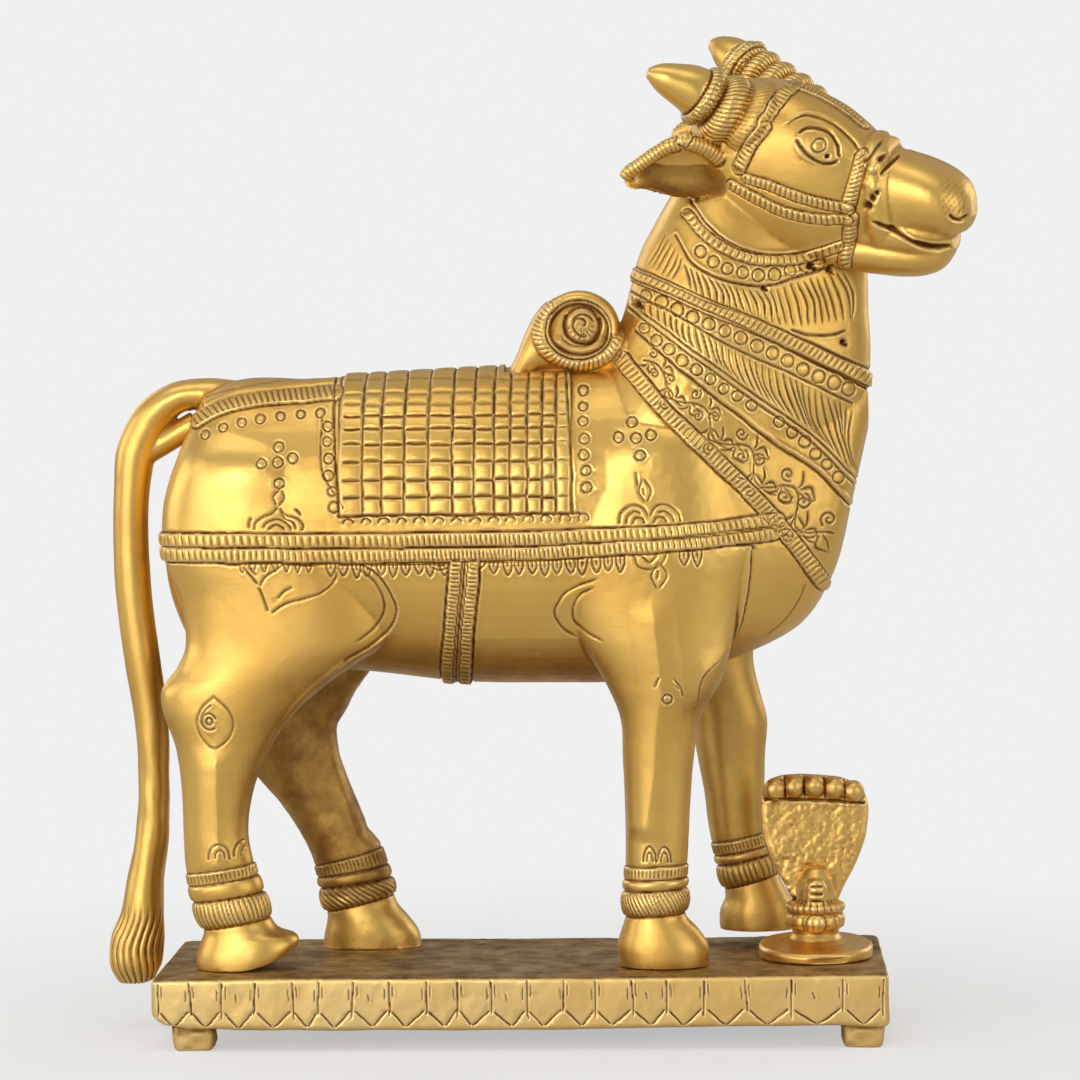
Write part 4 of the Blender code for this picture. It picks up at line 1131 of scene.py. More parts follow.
def chase_neck(neck):
    """Collars of the neck: straps, rings, hair strokes and the creeper between them."""
    neck.step(curve(THROAT_EDGE), 0.5, 2.0)
    neck.engrave(curve(THROAT_EDGE), 0.42, 0.3)
    neck.strap(curve(THROAT_STRAP), 1.25, 0.7, 1.75, 0.42)
    neck.punches(THROAT_RINGS, 4.2, 1.55)
    neck.engrave(curve(THROAT_LOW), 0.45, 0.36)
    neck.ridge(curve(THROAT_LOW) + np.array((0.0, 0.9)), 0.8, 0.25)
    neck.strokes(*NAPE_STROKES, 6, bow=0.03, width=0.3)
    neck.strokes(*UPPER_STROKES, 25, lean=0.035, bow=0.06, depth=0.42, width=0.36, cover=(0.03, 0.95))
    neck.engrave(curve(UPPER_ARC), 0.4, 0.3, taper=1.5)

    top = at_share(BAND_TOP, np.linspace(0.0, 1.0, 40))
    low = at_share(BAND_LOW, np.linspace(0.0, 1.0, 40))
    middle = (top + low) / 2
    neck.strap(middle, 1.75, 0.9, 1.5, 0.36, lean=-0.2)
    neck.engrave(top, 0.4, 0.28)
    neck.engrave(low, 0.55, 0.34)
    neck.punches(BAND_RINGS, 4.55, 1.65)
    neck.engrave(curve(MANE_TOP), 0.45, 0.3)
    shares = np.linspace(0.0, 1.0, 35)
    lean = 0.085 * shares**1.5
    neck.strokes(MANE_TOP, MANE_LOW, 35, lean=lean, bow=-0.05, depth=0.4, width=0.34, cover=(0.04, 0.93))
    for offset in (0.0, 1.5):
        neck.engrave(curve(MANE_LOW) + np.array((-0.6, -0.8)) * offset, 0.4, 0.28)
    neck.punches(COLLAR_RINGS, 4.3, 1.45, skip=(9,))
    neck.engrave(curve(COLLAR_LOW), 0.45, 0.34)
    neck.ridge(curve(COLLAR_LOW) + np.array((0.5, 0.9)), 0.8, 0.3)
    neck.strap(curve(COLLAR_STRAP), 1.9, 0.95, 1.33, 0.42)
    neck.engrave(curve(COLLAR_STRAP) + np.array((1.5, 1.5)), 0.4, 0.32)
    chase_creeper(neck)
    beside = tuple((x + 0.8 * size, z - 0.7 * size, 0.6 * size) for x, z, size in NECK_PITS)
    for x, z, size in NECK_PITS + beside:
        neck.pit(x, z, size, 0.1, 0.75, 1.6)


def chase_creeper(neck):
    """Waving stem with leaves and curls to both sides of it."""
    line = curve(CREEPER, 0.6)
    ways = np.gradient(line, axis=0)
    ways /= np.linalg.norm(ways, axis=1)[:, None]
    across = np.stack([-ways[:, 1], ways[:, 0]], axis=-1)
    run = np.linspace(0.0, 1.0, len(line))
    sway = (1.5 + 2.2 * run) * np.sin(run * 2 * math.pi * 4.2)
    stem = line + across * sway[:, None]
    neck.engrave(stem, 0.32, 0.3)
    for index, share in enumerate(np.linspace(0.02, 0.97, 17)):
        spot = int(share * (len(line) - 1))
        side = 1 if index % 2 else -1
        size = 1.9 + 1.6 * share
        start = stem[spot]
        way, out = ways[spot], across[spot] * side
        tip = start + way * size * 1.7 + out * size * 0.5
        neck.gouge(curve((start, start + way * size * 0.6 + out * size, tip), 0.5), 0.42, 0.4)
        neck.gouge(curve((start, start + way * size + out * size * 0.1, tip), 0.5), 0.38, 0.34)
        back = start - way * size * 0.9 + out * size * 1.5
        neck.gouge(curve((start, start - way * size * 0.2 + out * size * 0.9, back), 0.5), 0.4, 0.36)
        curl_at = start - way * size * 0.4 - out * size * 1.1
        neck.engrave(spiral(*curl_at, 0.3, size * 0.66, 1.3, index * 1.3), 0.32, 0.28)


def chase_scroll(skin):
    """Hump scroll: a ribbed roll round a smooth hollow, with a ribbed snail in it, on both its ends."""
    x, y, z = skin.places.T
    middle = np.array(SCROLL_EYE)
    beside = (np.abs(x - middle[0]) < 16) & (np.abs(z - middle[1]) < 16) & (np.abs(y - BULL_Y) > 9.0)
    ground = skin.ground(beside, skin.places[:, [0, 2]])
    everything = np.arange(len(ground.which))
    offset = (ground.flat - middle) * (1.0, SCROLL_FLATTENING)
    radius = np.hypot(*offset.T)
    turn = np.arctan2(offset[:, 1], offset[:, 0]) % (2 * math.pi)
    wound = soft_step((turn - 1.95) / 0.5) * soft_step((6.25 - turn) / 0.3)
    roll = np.sqrt(np.clip(1.0 - ((radius - 10.5) / 1.75) ** 2, 0.0, 1.0)) * wound
    ribs = rounded_tooth(turn * 10.5 + 0.3 * radius, 1.35, 0.5)
    ground.add(everything, 0.9 * roll)
    ground.carve(everything, 0.42 * roll * (1.0 - ribs))
    ground.add(everything, -1.3 * soft_step((8.5 - radius) / 0.9))
    ground.carve(everything, 0.6 * np.exp(-(((radius - 8.75) / 0.34) ** 2)))
    ground.add(everything, 0.45 * wound * np.exp(-(((radius - 8.1) / 0.42) ** 2)))
    band = soft_step((turn - 3.3) / 0.5) * soft_step((6.2 - turn) / 0.6)
    ground.add(everything, 0.8 * band * np.sqrt(np.clip(1.0 - ((radius - 6.2) / 1.2) ** 2, 0.0, 1.0)))
    snail = middle + np.array((0.9, 1.5))
    offset = ground.flat - snail
    radius = np.hypot(*offset.T)
    turn = np.arctan2(offset[:, 1], offset[:, 0]) % (2 * math.pi)
    coil = np.sqrt(np.clip(1.0 - ((radius - 2.8) / 1.6) ** 2, 0.0, 1.0))
    ground.add(everything, 1.3 * np.maximum(coil, radius < 2.8))
    ribbed = soft_step((turn - 3.0) / 0.5) * soft_step((6.28 - turn) / 0.5)
    ribs = rounded_tooth(turn * 3.3, 1.25, 0.5)
    ground.carve(everything, 0.5 * coil * ribbed * (1.0 - ribs))
    ground.engrave(spiral(*snail, 4.7, 4.9, 0.62, math.pi * 0.85, 30), 0.7, 0.36)
    ground.engrave(spiral(*snail, 0.5, 3.2, 0.9, -0.6, 30), 0.5, 0.3)
    ground.engrave(arc(snail[0] + 0.4, snail[1] + 0.6, 2.6, 1.9, 0.2, math.pi * 0.95, 16), 0.4, 0.28)
    hollow = soft_step((8.8 - np.hypot(*(ground.flat - middle).T)) / 1.0)
    skin.rough[ground.which] = np.maximum(skin.rough[ground.which], 0.5 * hollow)


def chase_head(skin):
    """Bridle, eyes, brow, mouth and nostril on both sides of the head."""
    local = from_head(skin.places)
    ahead, side, up = local.T
    within = (ahead > 3.0) & (ahead < 72.0) & (up > -30.0) & (up < 27.0) & (np.abs(side) < 19.5)
    sideways = np.abs(skin.ways @ head_axes()[1])
    face = skin.ground(within & (np.abs(side) > 2.0), local[:, [0, 2]], soft_step((sideways - 0.12) / 0.2))

    points, away, _, _ = face.near(((24.0, 9.8), (38.0, 9.8)), 8.0)
    spot = face.flat[points] - np.array((31.6, 9.7))
    turn = math.radians(-24)
    length = spot[:, 0] * math.cos(turn) + spot[:, 1] * math.sin(turn)
    height = spot[:, 1] * math.cos(turn) - spot[:, 0] * math.sin(turn)
    ball = np.clip(1.0 - (length / 6.2) ** 2 - (height / 4.3) ** 2, 0.0, 1.0)
    face.add(points, 0.5 * np.sqrt(ball))
    for line, width in ((UPPER_LID, 0.42), (LOWER_LID, 0.38)):
        face.engrave(curve(line, 0.5), 0.75, width, taper=1.2, burr=0.05)
    face.punch(*IRIS, depth=0.36, width=0.27, dome=0.1)
    face.engrave(curve(BROW, 0.6), 0.34, 0.34, taper=2.5, burr=0.1)
    face.step(curve(BROW, 0.6), 0.45, 3.2)

    for row, pitch in zip(CHEEK_ROWS, (1.42, 1.5)):
        face.strap(curve(row, 0.6), 1.3, 0.8, pitch, 0.42, lean=0.15)
    for row in NOSE_ROPE:
        line = curve(row, 0.6)
        face.ridge(line, 1.9, 1.0, 0.5)
        face.strap(line, 1.6, 0.5, 1.2, 0.4, lean=0.45)
    for line in NOSE_LOOPS:
        face.engrave(curve(line, 0.4), 0.7, 0.42)
    face.ridge(curve(((49.2, 7.6), (47.2, 5.6), (45.4, 3.2)), 0.5), 1.6, 0.7, 0.6)
    for ahead_at, up_at, size in NOSE_KNOTS:
        points, away, _, _ = face.near(((ahead_at - 0.05, up_at), (ahead_at + 0.05, up_at)), size)
        face.add(points, 0.22 * np.sqrt(1.0 - (away / size) ** 2))
    for ahead_at, up_at, size in NOSE_PITS + (BROW_PIT,):
        face.pit(ahead_at, up_at, size, 0.05, 0.85, 1.5)
    face.engrave(curve(MOUTH, 0.6), 1.2, 0.5, taper=3.0, burr=0.1)
    face.gouge(curve(MOUTH_GAP, 0.6), 2.2, 1.0)
    face.gouge(curve(LIP_FOLD, 0.6), 0.3, 0.8)
    face.engrave(curve(NOSTRIL, 0.4), 0.6, 0.42, taper=0.8, burr=0.2)
    for index in range(46):
        share = index / 46
        spot = np.array((62.4 + 5.4 * ((index * 0.618) % 1.0), 0.5 - 12.5 * share))
        face.gouge((spot, spot + np.array((0.5, 1.1))), 0.09, 0.2)

    crown = skin.ground(within, np.stack([ahead, np.abs(side), up], axis=-1))
    band = crown.settle(curve(BROWBAND, 0.6))
    crown.strap(band, 1.75, 0.75, 1.3, 0.36)
    strap = crown.settle(curve(FOREHEAD_STRAP, 0.6))
    crown.strap(strap, 2.1, 0.6, 1.1, 0.3)
    for out in (1.1, 3.0):
        crown.engrave(strap + np.array((0.0, out, -0.1 * out)), 0.3, 0.28)


def chase_horns(skin):
    """Ticked collar round the near horn and ribs on the coils of both."""
    near_side = (NEAR_HORN, NEAR_COILS, NEAR_HORN_COLLARS)
    far_side = (FAR_HORN, FAR_COILS, FAR_HORN_COLLARS)
    for horn, coils, collars in (near_side, far_side):
        way, one, two = coil_ways(horn)
        tip = np.array(horn[0][:3])
        offset = skin.places - tip
        along = offset @ way
        turn = np.arctan2(offset @ two, offset @ one)
        close = np.linalg.norm(offset - along[:, None] * way, axis=1) < 14.0
        high = skin.places[:, 2] > 226.0
        for low, top in collars:
            band = np.flatnonzero(close & high & (along > low - 1.0) & (along < top + 1.0))
            half = (top - low) / 2
            away = np.abs(along[band] - (low + top) / 2)
            ground = Ground(skin, band, skin.places[band])
            everything = np.arange(len(band))
            ground.lay(everything, 0.75 * soft_step((half - away) / 0.4 + 0.5))
            tooth = rounded_tooth(turn[band] * 7.0, 1.0, 0.6)
            ground.carve(everything, 0.36 * soft_step((half - away) / 0.3) * (1.0 - tooth))
            ground.carve(everything, 0.5 * np.exp(-(((away - half - 0.2) / 0.3) ** 2)))
        for x, y, z, middle, thick, ribs, depth in coils:
            centre = np.array((x, y, z))
            offset = skin.places - centre
            rise = offset @ way
            sideways = offset - rise[:, None] * way
            reach = np.linalg.norm(sideways, axis=1)
            shell = np.hypot(rise, reach - middle)
            band = np.flatnonzero((shell < thick + 0.9) & high)
            turn = np.arctan2(sideways[band] @ two, sideways[band] @ one)
            tooth = rounded_tooth(turn + 0.05 * rise[band], 2 * math.pi / ribs, 0.5)
            ground = Ground(skin, band, skin.places[band])
            outer = soft_step((shell[band] - thick * 0.5) / 0.8)
            ground.carve(np.arange(len(band)), depth * 1.5 * (1.0 - tooth) * outer)


def chase_ears(skin):
    """Ribs along the roll of each ear's upper rim."""
    for side in (-1, 1):
        path = ear_rings(side)[1]
        near_path = (np.abs(skin.places - path.mean(axis=0)) < 18.0).all(axis=1)
        ground = skin.ground(near_path, skin.places)
        points, away, along, _ = ground.near(path[::2], EAR_ROLL + 0.7)
        near_rim = soft_step((EAR_ROLL + 0.6 - away) / 0.4)
        ground.carve(points, 0.26 * (1.0 - rounded_tooth(along, 1.15, 0.5)) * near_rim)
        local = from_head(skin.places)
        outward = skin.ways @ head_axes()[1] * side
        leaf = skin.ground(near_path & (local[:, 1] * side > 10.0), local, soft_step(outward / 0.3))
        line = curve([(ahead, out * side, up) for ahead, out, up in EAR_HOLLOW], 0.8)
        points, away, _, _ = leaf.near(line, EAR_HOLLOW_REACH)
        dent = 1.0 - (away / EAR_HOLLOW_REACH) ** 2
        leaf.add(points, -1.5 * dent)
        # painted shade: the ear's hollow is darkened
        spots = leaf.which[points]
        skin.rough[spots] = np.maximum(skin.rough[spots], dent * leaf.share[points])


def chase_legs(skin):
    """Anklets on all four legs, the near legs' ridges, and their stamped marks."""
    x, y, z = skin.places.T
    for rows, side, middle, edges, pitch, lean in ANKLETS:
        table = np.array(rows)[::-1]
        centre_x = np.interp(z, table[:, 0], (table[:, 1] + table[:, 2]) / 2)
        centre_y = BULL_Y + side * LEG_SPREAD
        shank = (z < 54.0) & (z > 26.0) & (np.abs(x - middle) < 16.0)
        leg = np.flatnonzero(((y - BULL_Y) * side > 4.0) & shank)
        turn = np.arctan2(y[leg] - centre_y, x[leg] - centre_x[leg]) * 9.0
        levels = [height + slope * (x[leg] - middle) for height, slope in edges]
        ground = Ground(skin, leg, skin.places[leg])
        everything = np.arange(len(leg))
        for part, (high, low) in enumerate(zip(levels[:-1], levels[1:])):
            half = (high - low) / 2
            across = (z[leg] - (high + low) / 2) / half
            bulge = np.sqrt(np.clip(1.0 - across**2, 0.0, 1.0))
            if part == 0:
                ground.lay(everything, 0.45 * soft_step((1.0 - np.abs(across)) * half / 0.4 + 0.4))
                tooth = rounded_tooth(turn, TICK_PITCH, 0.6)
                ground.carve(everything, 0.3 * soft_step((0.8 - np.abs(across)) / 0.3) * (1.0 - tooth))
            elif part == 1:
                ground.lay(everything, 0.75 * bulge)
            else:
                ground.lay(everything, 1.3 * bulge)
                tooth = rounded_tooth(turn + lean * z[leg] + 0.12 * np.sin(turn * 0.9), pitch, 0.55)
                ground.carve(everything, 0.42 * soft_step(bulge / 0.4) * (1.0 - tooth))
        for level, depth in zip(levels, (0.3, 0.32, 0.5, 0.3)):
            ground.carve(everything, depth * np.exp(-(((z[leg] - level) / 0.32) ** 2)))

    near_leg = (y < BULL_Y - 11.0) & (z < 130.0) & (x > -102.0)
    outer = soft_step((-skin.ways[:, 1] - 0.25) / 0.3)
    legs = skin.ground(near_leg, skin.places[:, [0, 2]], outer)
    for line, half, height in LEG_RIDGES:
        points, away, along, length = legs.near(curve(line, 1.0), half)
        ends = soft_step(along / 8.0) * soft_step((length - along) / 5.0)
        legs.add(points, height * ends * (1.0 - np.abs(away) / half))
    for line in THIGH_CURVES + ELBOW_CURVES:
        legs.engrave(curve(line, 0.7), 0.28, 0.38, taper=3.0, burr=0.03)
    legs.step(curve(THIGH_CURVES[0]), 0.5, 4.0)
    legs.ridge(curve(THIGH_EDGE), 0.9, 0.5, 0.8)
    legs.step(curve(FRONT_LEG_EDGE), 1.0, 6.0)
    legs.engrave(curve(FRONT_LEG_EDGE), 0.26, 0.4, taper=3.0, burr=0.0)
    legs.engrave(curve(CHEST_LINE), 0.24, 0.36, taper=2.0, burr=0.05)
    for line in FRONT_LEG_MOTIF:
        legs.engrave(curve(line, 0.5), 0.28, 0.26, taper=0.8)
    legs.punch(34.6, 90.5, 1.2)
    legs.engrave(curve(HIP_OVAL, 0.5), 0.18, 0.34, burr=0.03)
    legs.punch(*HIP_EYE, 0.85, dome=0.1)
    legs.engrave(spiral(*HIP_EYE, 1.9, 2.3, 0.8, 0.4, 24), 0.24, 0.25)
    legs.engrave(curve(((-87.6, 86.6), (-86.6, 88.4), (-85.0, 89.8)), 0.4), 0.22, 0.25)
    for stamp_x, stamp_z in LEG_STAMPS:
        legs.engrave(arc(stamp_x, stamp_z - 1.2, 2.6, 4.0, 0.0, math.pi), 0.24, 0.25)
        legs.engrave(arc(stamp_x + 0.4, stamp_z - 1.0, 1.2, 2.2, 0.0, math.pi), 0.2, 0.22)
    for side in (-1, 1):
        stamp = (FRONT_STAMP[0] + side * 1.9, FRONT_STAMP[1] - 1.0)
        legs.engrave(arc(*stamp, 1.7, 4.0), 0.26, 0.25)
        legs.engrave(arc(*stamp, 0.8, 2.4), 0.2, 0.22)


def lumps(places, size, seed):
    """Smooth random swelling between -1 and 1, of lumps about one size."""
    lattice = np.random.RandomState(seed).uniform(-1.0, 1.0, (24, 24, 24))
    spots = places / size
    low = np.floor(spots).astype(int)
    share = soft_step(spots - low)
    total = np.zeros(len(places))
    for corner in ((i, j, k) for i in (0, 1) for j in (0, 1) for k in (0, 1)):
        index = (low + corner) % 24
        weight = np.prod(np.where(corner, share, 1.0 - share), axis=1)
        total += lattice[index[:, 0], index[:, 1], index[:, 2]] * weight
    return total


def softened_gap(item, rounds):
    """How far each point lies under the skin smoothed over its surroundings, mm."""
    mesh = item.data
    before, ways = places_of(mesh), places_of(mesh, "normal")
    twin = bpy.data.objects.new("twin", mesh.copy())
    bpy.context.scene.collection.objects.link(twin)
    soften(twin, rounds)
    after = places_of(twin.data)
    data = twin.data
    bpy.data.objects.remove(twin, do_unlink=True)
    bpy.data.meshes.remove(data)
    return np.einsum("ij,ij->i", after - before, ways)


def keep_value(mesh, name, values, kind="FLOAT"):
    """Keep a value for every point of a mesh."""
    layer = mesh.attributes.new(name, kind, "POINT")
    layer.data.foreach_set("value" if kind == "FLOAT" else "vector", np.asarray(values, np.float32).ravel())


def kept_value(mesh, name, width=1):
    """Read back a kept value."""
    values = np.empty(len(mesh.vertices) * width, np.float32)
    mesh.attributes[name].data.foreach_get("value" if width == 1 else "vector", values)
    return values if width == 1 else values.reshape(-1, width)


def finish_skin(skin, cell, triangles):
    """Put the ornament on the mesh, note its recesses, its broad hollows for painted shade and its raised
    edges for wear and a painted highlight, and thin the flat stretches.
    """
    item = skin.item
    put_places(item.data, skin.chased())
    fine = softened_gap(item, int(5 * (BASE_CELL / cell) ** 2) + 1)
    broad = softened_gap(item, int(70 * (BASE_CELL / cell) ** 2) + 2)
    keep_value(item.data, "recess", np.clip(fine / 0.08 + skin.cut, 0.0, 1.0))
    # painted shade: the broad hollows between forms are kept here for a warmer, darker colour
    keep_value(item.data, "hollow", np.clip(broad / 0.3, 0.0, 1.0))
    # raised edges, kept for a paler colour that is real wear and also a painted highlight
    keep_value(item.data, "wear_and_highlight", np.clip(-fine / 0.08, 0.0, 1.0))
    # tarnish, with painted shade under the belly, on the inner legs and in the ears' hollows
    keep_value(item.data, "tarnish_and_shade", np.clip(skin.rough, 0.0, 1.0))
    keep_value(item.data, "facing", places_of(item.data, "normal"), "FLOAT_VECTOR")
    item.data.calc_loop_triangles()
    count = len(item.data.loop_triangles)
    if triangles < count:
        only(item)
        thin = item.modifiers.new("Thin", "DECIMATE")
        thin.ratio = triangles / count
        bpy.ops.object.modifier_apply(modifier=thin.name)


def face_ways(item):
    """Shade a piece by the fine skin's own directions, then drop them."""
    mesh = item.data
    ways = kept_value(mesh, "facing", 3)
    ways /= np.maximum(np.linalg.norm(ways, axis=1), 1e-6)[:, None]
    mesh.attributes.remove(mesh.attributes["facing"])
    mesh.shade_smooth()
    mesh.normals_split_custom_set_from_vertices(ways.tolist())


# Triangles that one piece stays under
MOST_TRIANGLES = 200000
# How far inside the skin a parted casting's cut faces lie, mm
CAP_DEPTH = 1.2


def open_loops(work):
    """The boundary edges of a mesh, one list for each opening."""
    work.verts.index_update()
    work.edges.index_update()
    waiting = {edge for edge in work.edges if edge.is_boundary}
    loops = []
    for first in work.edges:
        if first not in waiting:
            continue
        waiting.discard(first)
        loop = [first]
        for edge in loop:
            for corner in edge.verts:
                near = [other for other in corner.link_edges if other in waiting]
                waiting.difference_update(near)
                loop.extend(near)
        loops.append(loop)
    return loops


def cap_openings(item):
    """Close the cuts where a casting is parted, a little inside the skin."""
    work = bmesh.new()
    work.from_mesh(item.data)
    facing = work.verts.layers.float_vector["facing"]
    rim = bmesh.ops.extrude_edge_only(work, edges=[edge for edge in work.edges if edge.is_boundary])
    for corner in rim["geom"]:
        if isinstance(corner, bmesh.types.BMVert):
            corner.co -= corner[facing] * CAP_DEPTH * MM
    for loop in open_loops(work):
        corners = sorted({corner for edge in loop for corner in edge.verts}, key=lambda corner: corner.index)
        middle = work.verts.new(sum((corner.co for corner in corners), Vector()) / len(corners), corners[0])
        for edge in loop:
            work.faces.new((edge.verts[0], edge.verts[1], middle))
    bmesh.ops.triangulate(work, faces=work.faces[:])
    bmesh.ops.recalc_face_normals(work, faces=work.faces[:])
    work.to_mesh(item.data)
    work.free()


def part_casting(item, names, region):
    """Part one casting's mesh along its own edges, so that no piece holds too many triangles."""
    mesh = item.data
    mesh.calc_loop_triangles()
    triangles = np.empty(len(mesh.loop_triangles) * 3, np.int32)
    mesh.loop_triangles.foreach_get("vertices", triangles)
    triangles = triangles.reshape(-1, 3)
    places = places_of(mesh)
    layers = {name: kept_value(mesh, name) for name in ("recess", "hollow", "wear_and_highlight", "tarnish_and_shade")}
    facing = kept_value(mesh, "facing", 3)
    choice = region(places[triangles].mean(axis=1))
    pieces = []
    for number, name in enumerate(names):
        mine = triangles[choice == number]
        used, corners = np.unique(mine, return_inverse=True)
        corners = corners.reshape(-1, 3)
        part = bpy.data.meshes.new(name)
        part.vertices.add(len(used))
        part.vertices.foreach_set("co", (places[used] * MM).ravel())
        part.loops.add(corners.size)
        part.loops.foreach_set("vertex_index", corners.ravel())
        part.polygons.add(len(corners))
        part.polygons.foreach_set("loop_start", np.arange(0, corners.size, 3))
        part.update(calc_edges=True)
        for layer, values in layers.items():
            keep_value(part, layer, values[used])
        keep_value(part, "facing", facing[used], "FLOAT_VECTOR")
        piece = bpy.data.objects.new(name, part)
        bpy.context.scene.collection.objects.link(piece)
        cap_openings(piece)
        if len(piece.data.polygons) >= MOST_TRIANGLES:
            raise RuntimeError(f"{name} has {len(piece.data.polygons)} triangles, more than a piece may have")
        pieces.append(piece)
    bpy.data.objects.remove(item, do_unlink=True)
    return pieces


# Feet off the slab: side, from x, to x, rise, height that takes it up, bend of the rise
FOOT_LIFTS = ((-1, -80.0, -62.5, 6.4, 11.5, 1.8), (1, 40.0, 46.0, 4.2, 13.0, 1.0))
# Height of the soles' rim that is eased, mm, and the rounds of smoothing it takes
SOLE_RIM = 1.5
SOLE_ROUNDS = 9


def bull_forms():
    """Every closed form that the bull is welded from."""
    forms = [loft(upright_rings(blend(TRUNK, 90), 2.25, widest=133.0))]
    forms.append(loft(level_rings(blend(NECK, 60), 2.1, taper=0.30)))
    for rows, side in ((NEAR_HIND, -1), (NEAR_FRONT, -1), (FAR_HIND, 1), (FAR_FRONT, 1)):
        forms.append(loft(level_rings(blend(rows, 120), 2.3, side=side)))
    for rows, power in ((SKULL, 2.3), (LOWER_JAW, 2.2), (LIPS, 2.2), (NOSEBAND, 2.3)):
        forms.append(loft(head_rings(blend(rows, 50), power)))
    for rows, coils in ((NEAR_HORN, NEAR_COILS), (FAR_HORN, FAR_COILS)):
        line = blend(rows, 40)
        forms.append(loft(tube_rings(line[:, :3], line[:, 3])))
        forms += [coil_mesh(rows, coil) for coil in coils]
    forms += ear_forms(-1) + ear_forms(1)
    forms.append(scroll_mesh())
    forms.append(loft(upright_rings(blend(SCROLL_FOOT, 30), 2.4)))
    tail = blend(TAIL, 110)
    spine = np.stack([tail[:, 0], np.full(len(tail), BULL_Y), tail[:, 1]], axis=-1)
    forms.append(loft(tube_rings(spine, tail[:, 2:])))
    strut = [(x, BULL_Y, z) for x, z in STRUT_ENDS]
    forms.append(loft(tube_rings(strut, (STRUT_RADIUS, STRUT_RADIUS))))
    return forms


def shape_feet(places):
    """Flat soles, with the near hind toe a little off the slab and the far front foot held over it."""
    on_feet = (places[:, 2] < SOLE) & (places[:, 0] > -98.0)
    places[on_feet, 2] = SOLE
    for side, start, end, lift, height, bend in FOOT_LIFTS:
        low_end = (places[:, 2] < 34.0) & (np.abs(places[:, 0] - end) < 24.0)
        foot = ((places[:, 1] - BULL_Y) * side > 5.0) & low_end
        rise = lift * np.clip((places[:, 0] - start) / (end - start), 0.0, 1.0) ** bend
        low = np.clip(1.0 - (places[:, 2] - SOLE) / height, 0.0, 1.0)
        places[:, 2] += np.where(foot, rise * low, 0.0)
    return places


def ease_soles(item):
    """Round the rims of the soles, which the flattening leaves sharp."""
    low = np.flatnonzero(places_of(item.data)[:, 2] < SOLE + SOLE_RIM)
    rim = item.vertex_groups.new(name="soles")
    rim.add(low.tolist(), 1.0, "REPLACE")
    soften(item, SOLE_ROUNDS, rim.name)
    item.vertex_groups.clear()
    places = places_of(item.data)
    places[:, 2] = np.where(places[:, 0] > -98.0, np.maximum(places[:, 2], SOLE), places[:, 2])
    put_places(item.data, places)


def chase_tail(skin):
    """Twist of the tail's hair and the strokes of its tuft."""
    x, y, z = skin.places.T
    table = np.array(TAIL)[5:][::-1]
    centre = np.interp(z, table[:, 1], table[:, 0])
    tail = np.flatnonzero((x < -97.5) & (z < 140.0) & (np.abs(x - centre) < 9.0) & (np.abs(y - BULL_Y) < 9.0))
    turn = np.arctan2(y[tail] - BULL_Y, x[tail] - centre[tail])
    ground = Ground(skin, tail, skin.places[tail])
    everything = np.arange(len(tail))
    low = z[tail]
    twist = soft_step((92.0 - low) / 20.0) * soft_step((low - 36.0) / 10.0)
    wave = np.sin(turn * 3.0 + low * 0.42 + 0.6 * np.sin(low * 0.2))
    ground.add(everything, 0.08 * twist * wave)
    tuft = soft_step((36.0 - low) / 10.0)
    strands = rounded_tooth(turn * 3.6 + 0.35 * np.sin(low * 0.35), 1.15, 0.7)
    ground.carve(everything, 0.55 * tuft * (1.0 - strands))
    ground.add(everything, 0.25 * tuft * np.sin(turn * 2.0 + low * 0.3))


def shade_and_tarnish_bull(skin):
    """Darken the inner legs and the belly with painted shade, darken the far legs with tarnish and painted
    shade, roughen the far hind leg and dent the skin a little.
    """
    x, y, z = skin.places.T
    far_leg = (y > BULL_Y + 4.0) & (z < 104.0)
    below = soft_step((112.0 - z) / 16.0) * soft_step((-skin.ways[:, 2] + 0.1) / 0.5)
    hind_share = np.where(z > 34.0, 0.9, 0.3)
    far_share = np.where(far_leg, np.where(x < 0.0, hind_share, 0.35), 0.0)
    # painted shade: the far legs, darker also for their tarnish, and the belly's downward faces take the
    # tarnish colour
    skin.rough += far_share + np.where(~far_leg & (z < 106.0) & (z > 60.0), 0.6 * below, 0.0)
    # painted shade on the inner faces of the near legs
    skin.rough += np.where(~far_leg & (z < 100.0) & (skin.ways[:, 1] > 0.2), 0.6, 0.0)
    hind = far_leg & (x < -20.0)
    collar = soft_step((x - 24.0) / 6.0) * soft_step((z - 112.0) / 8.0) * soft_step((222.0 - z) / 6.0)
    skin.lift += 0.04 * collar * lumps(skin.places, 1.5, 11)
    skin.lift += np.where(hind, 0.06, 0.03) * lumps(skin.places, 2.2, 5) + 0.10 * lumps(skin.places, 11.0, 7)
    skin.lift += np.where(hind & (z > 46.0), 0.04, 0.0) * lumps(skin.places, 0.9, 9)
    groove = skin.ground(hind & (z > 46.0), skin.places[:, [0, 2]])
    points, away, along, _ = groove.near(curve(HOCK_GROOVE), 4.5)
    groove.add(points, -1.7 * soft_step(along / 8.0) * (1.0 - np.abs(away) / 4.5))
    spots = groove.which[points]
    skin.rough[spots] += 0.5 * soft_step(along / 6.0) * (1.0 - np.abs(away) / 4.5)
    skin.lift *= np.where(x > -98.0, soft_step((z - SOLE - 0.2) / 1.6), 1.0)


# Where the bull's skin is parted, mm
PART_RUMP_X = -42.0
PART_SHOULDER_X = 13.0
PART_CHEST_Z = 152.0
PART_HUMP_X = -9.0
PART_HUMP_Z = 171.5
PART_HEAD_Z = 204.5
PART_LEGS_Z = 88.0


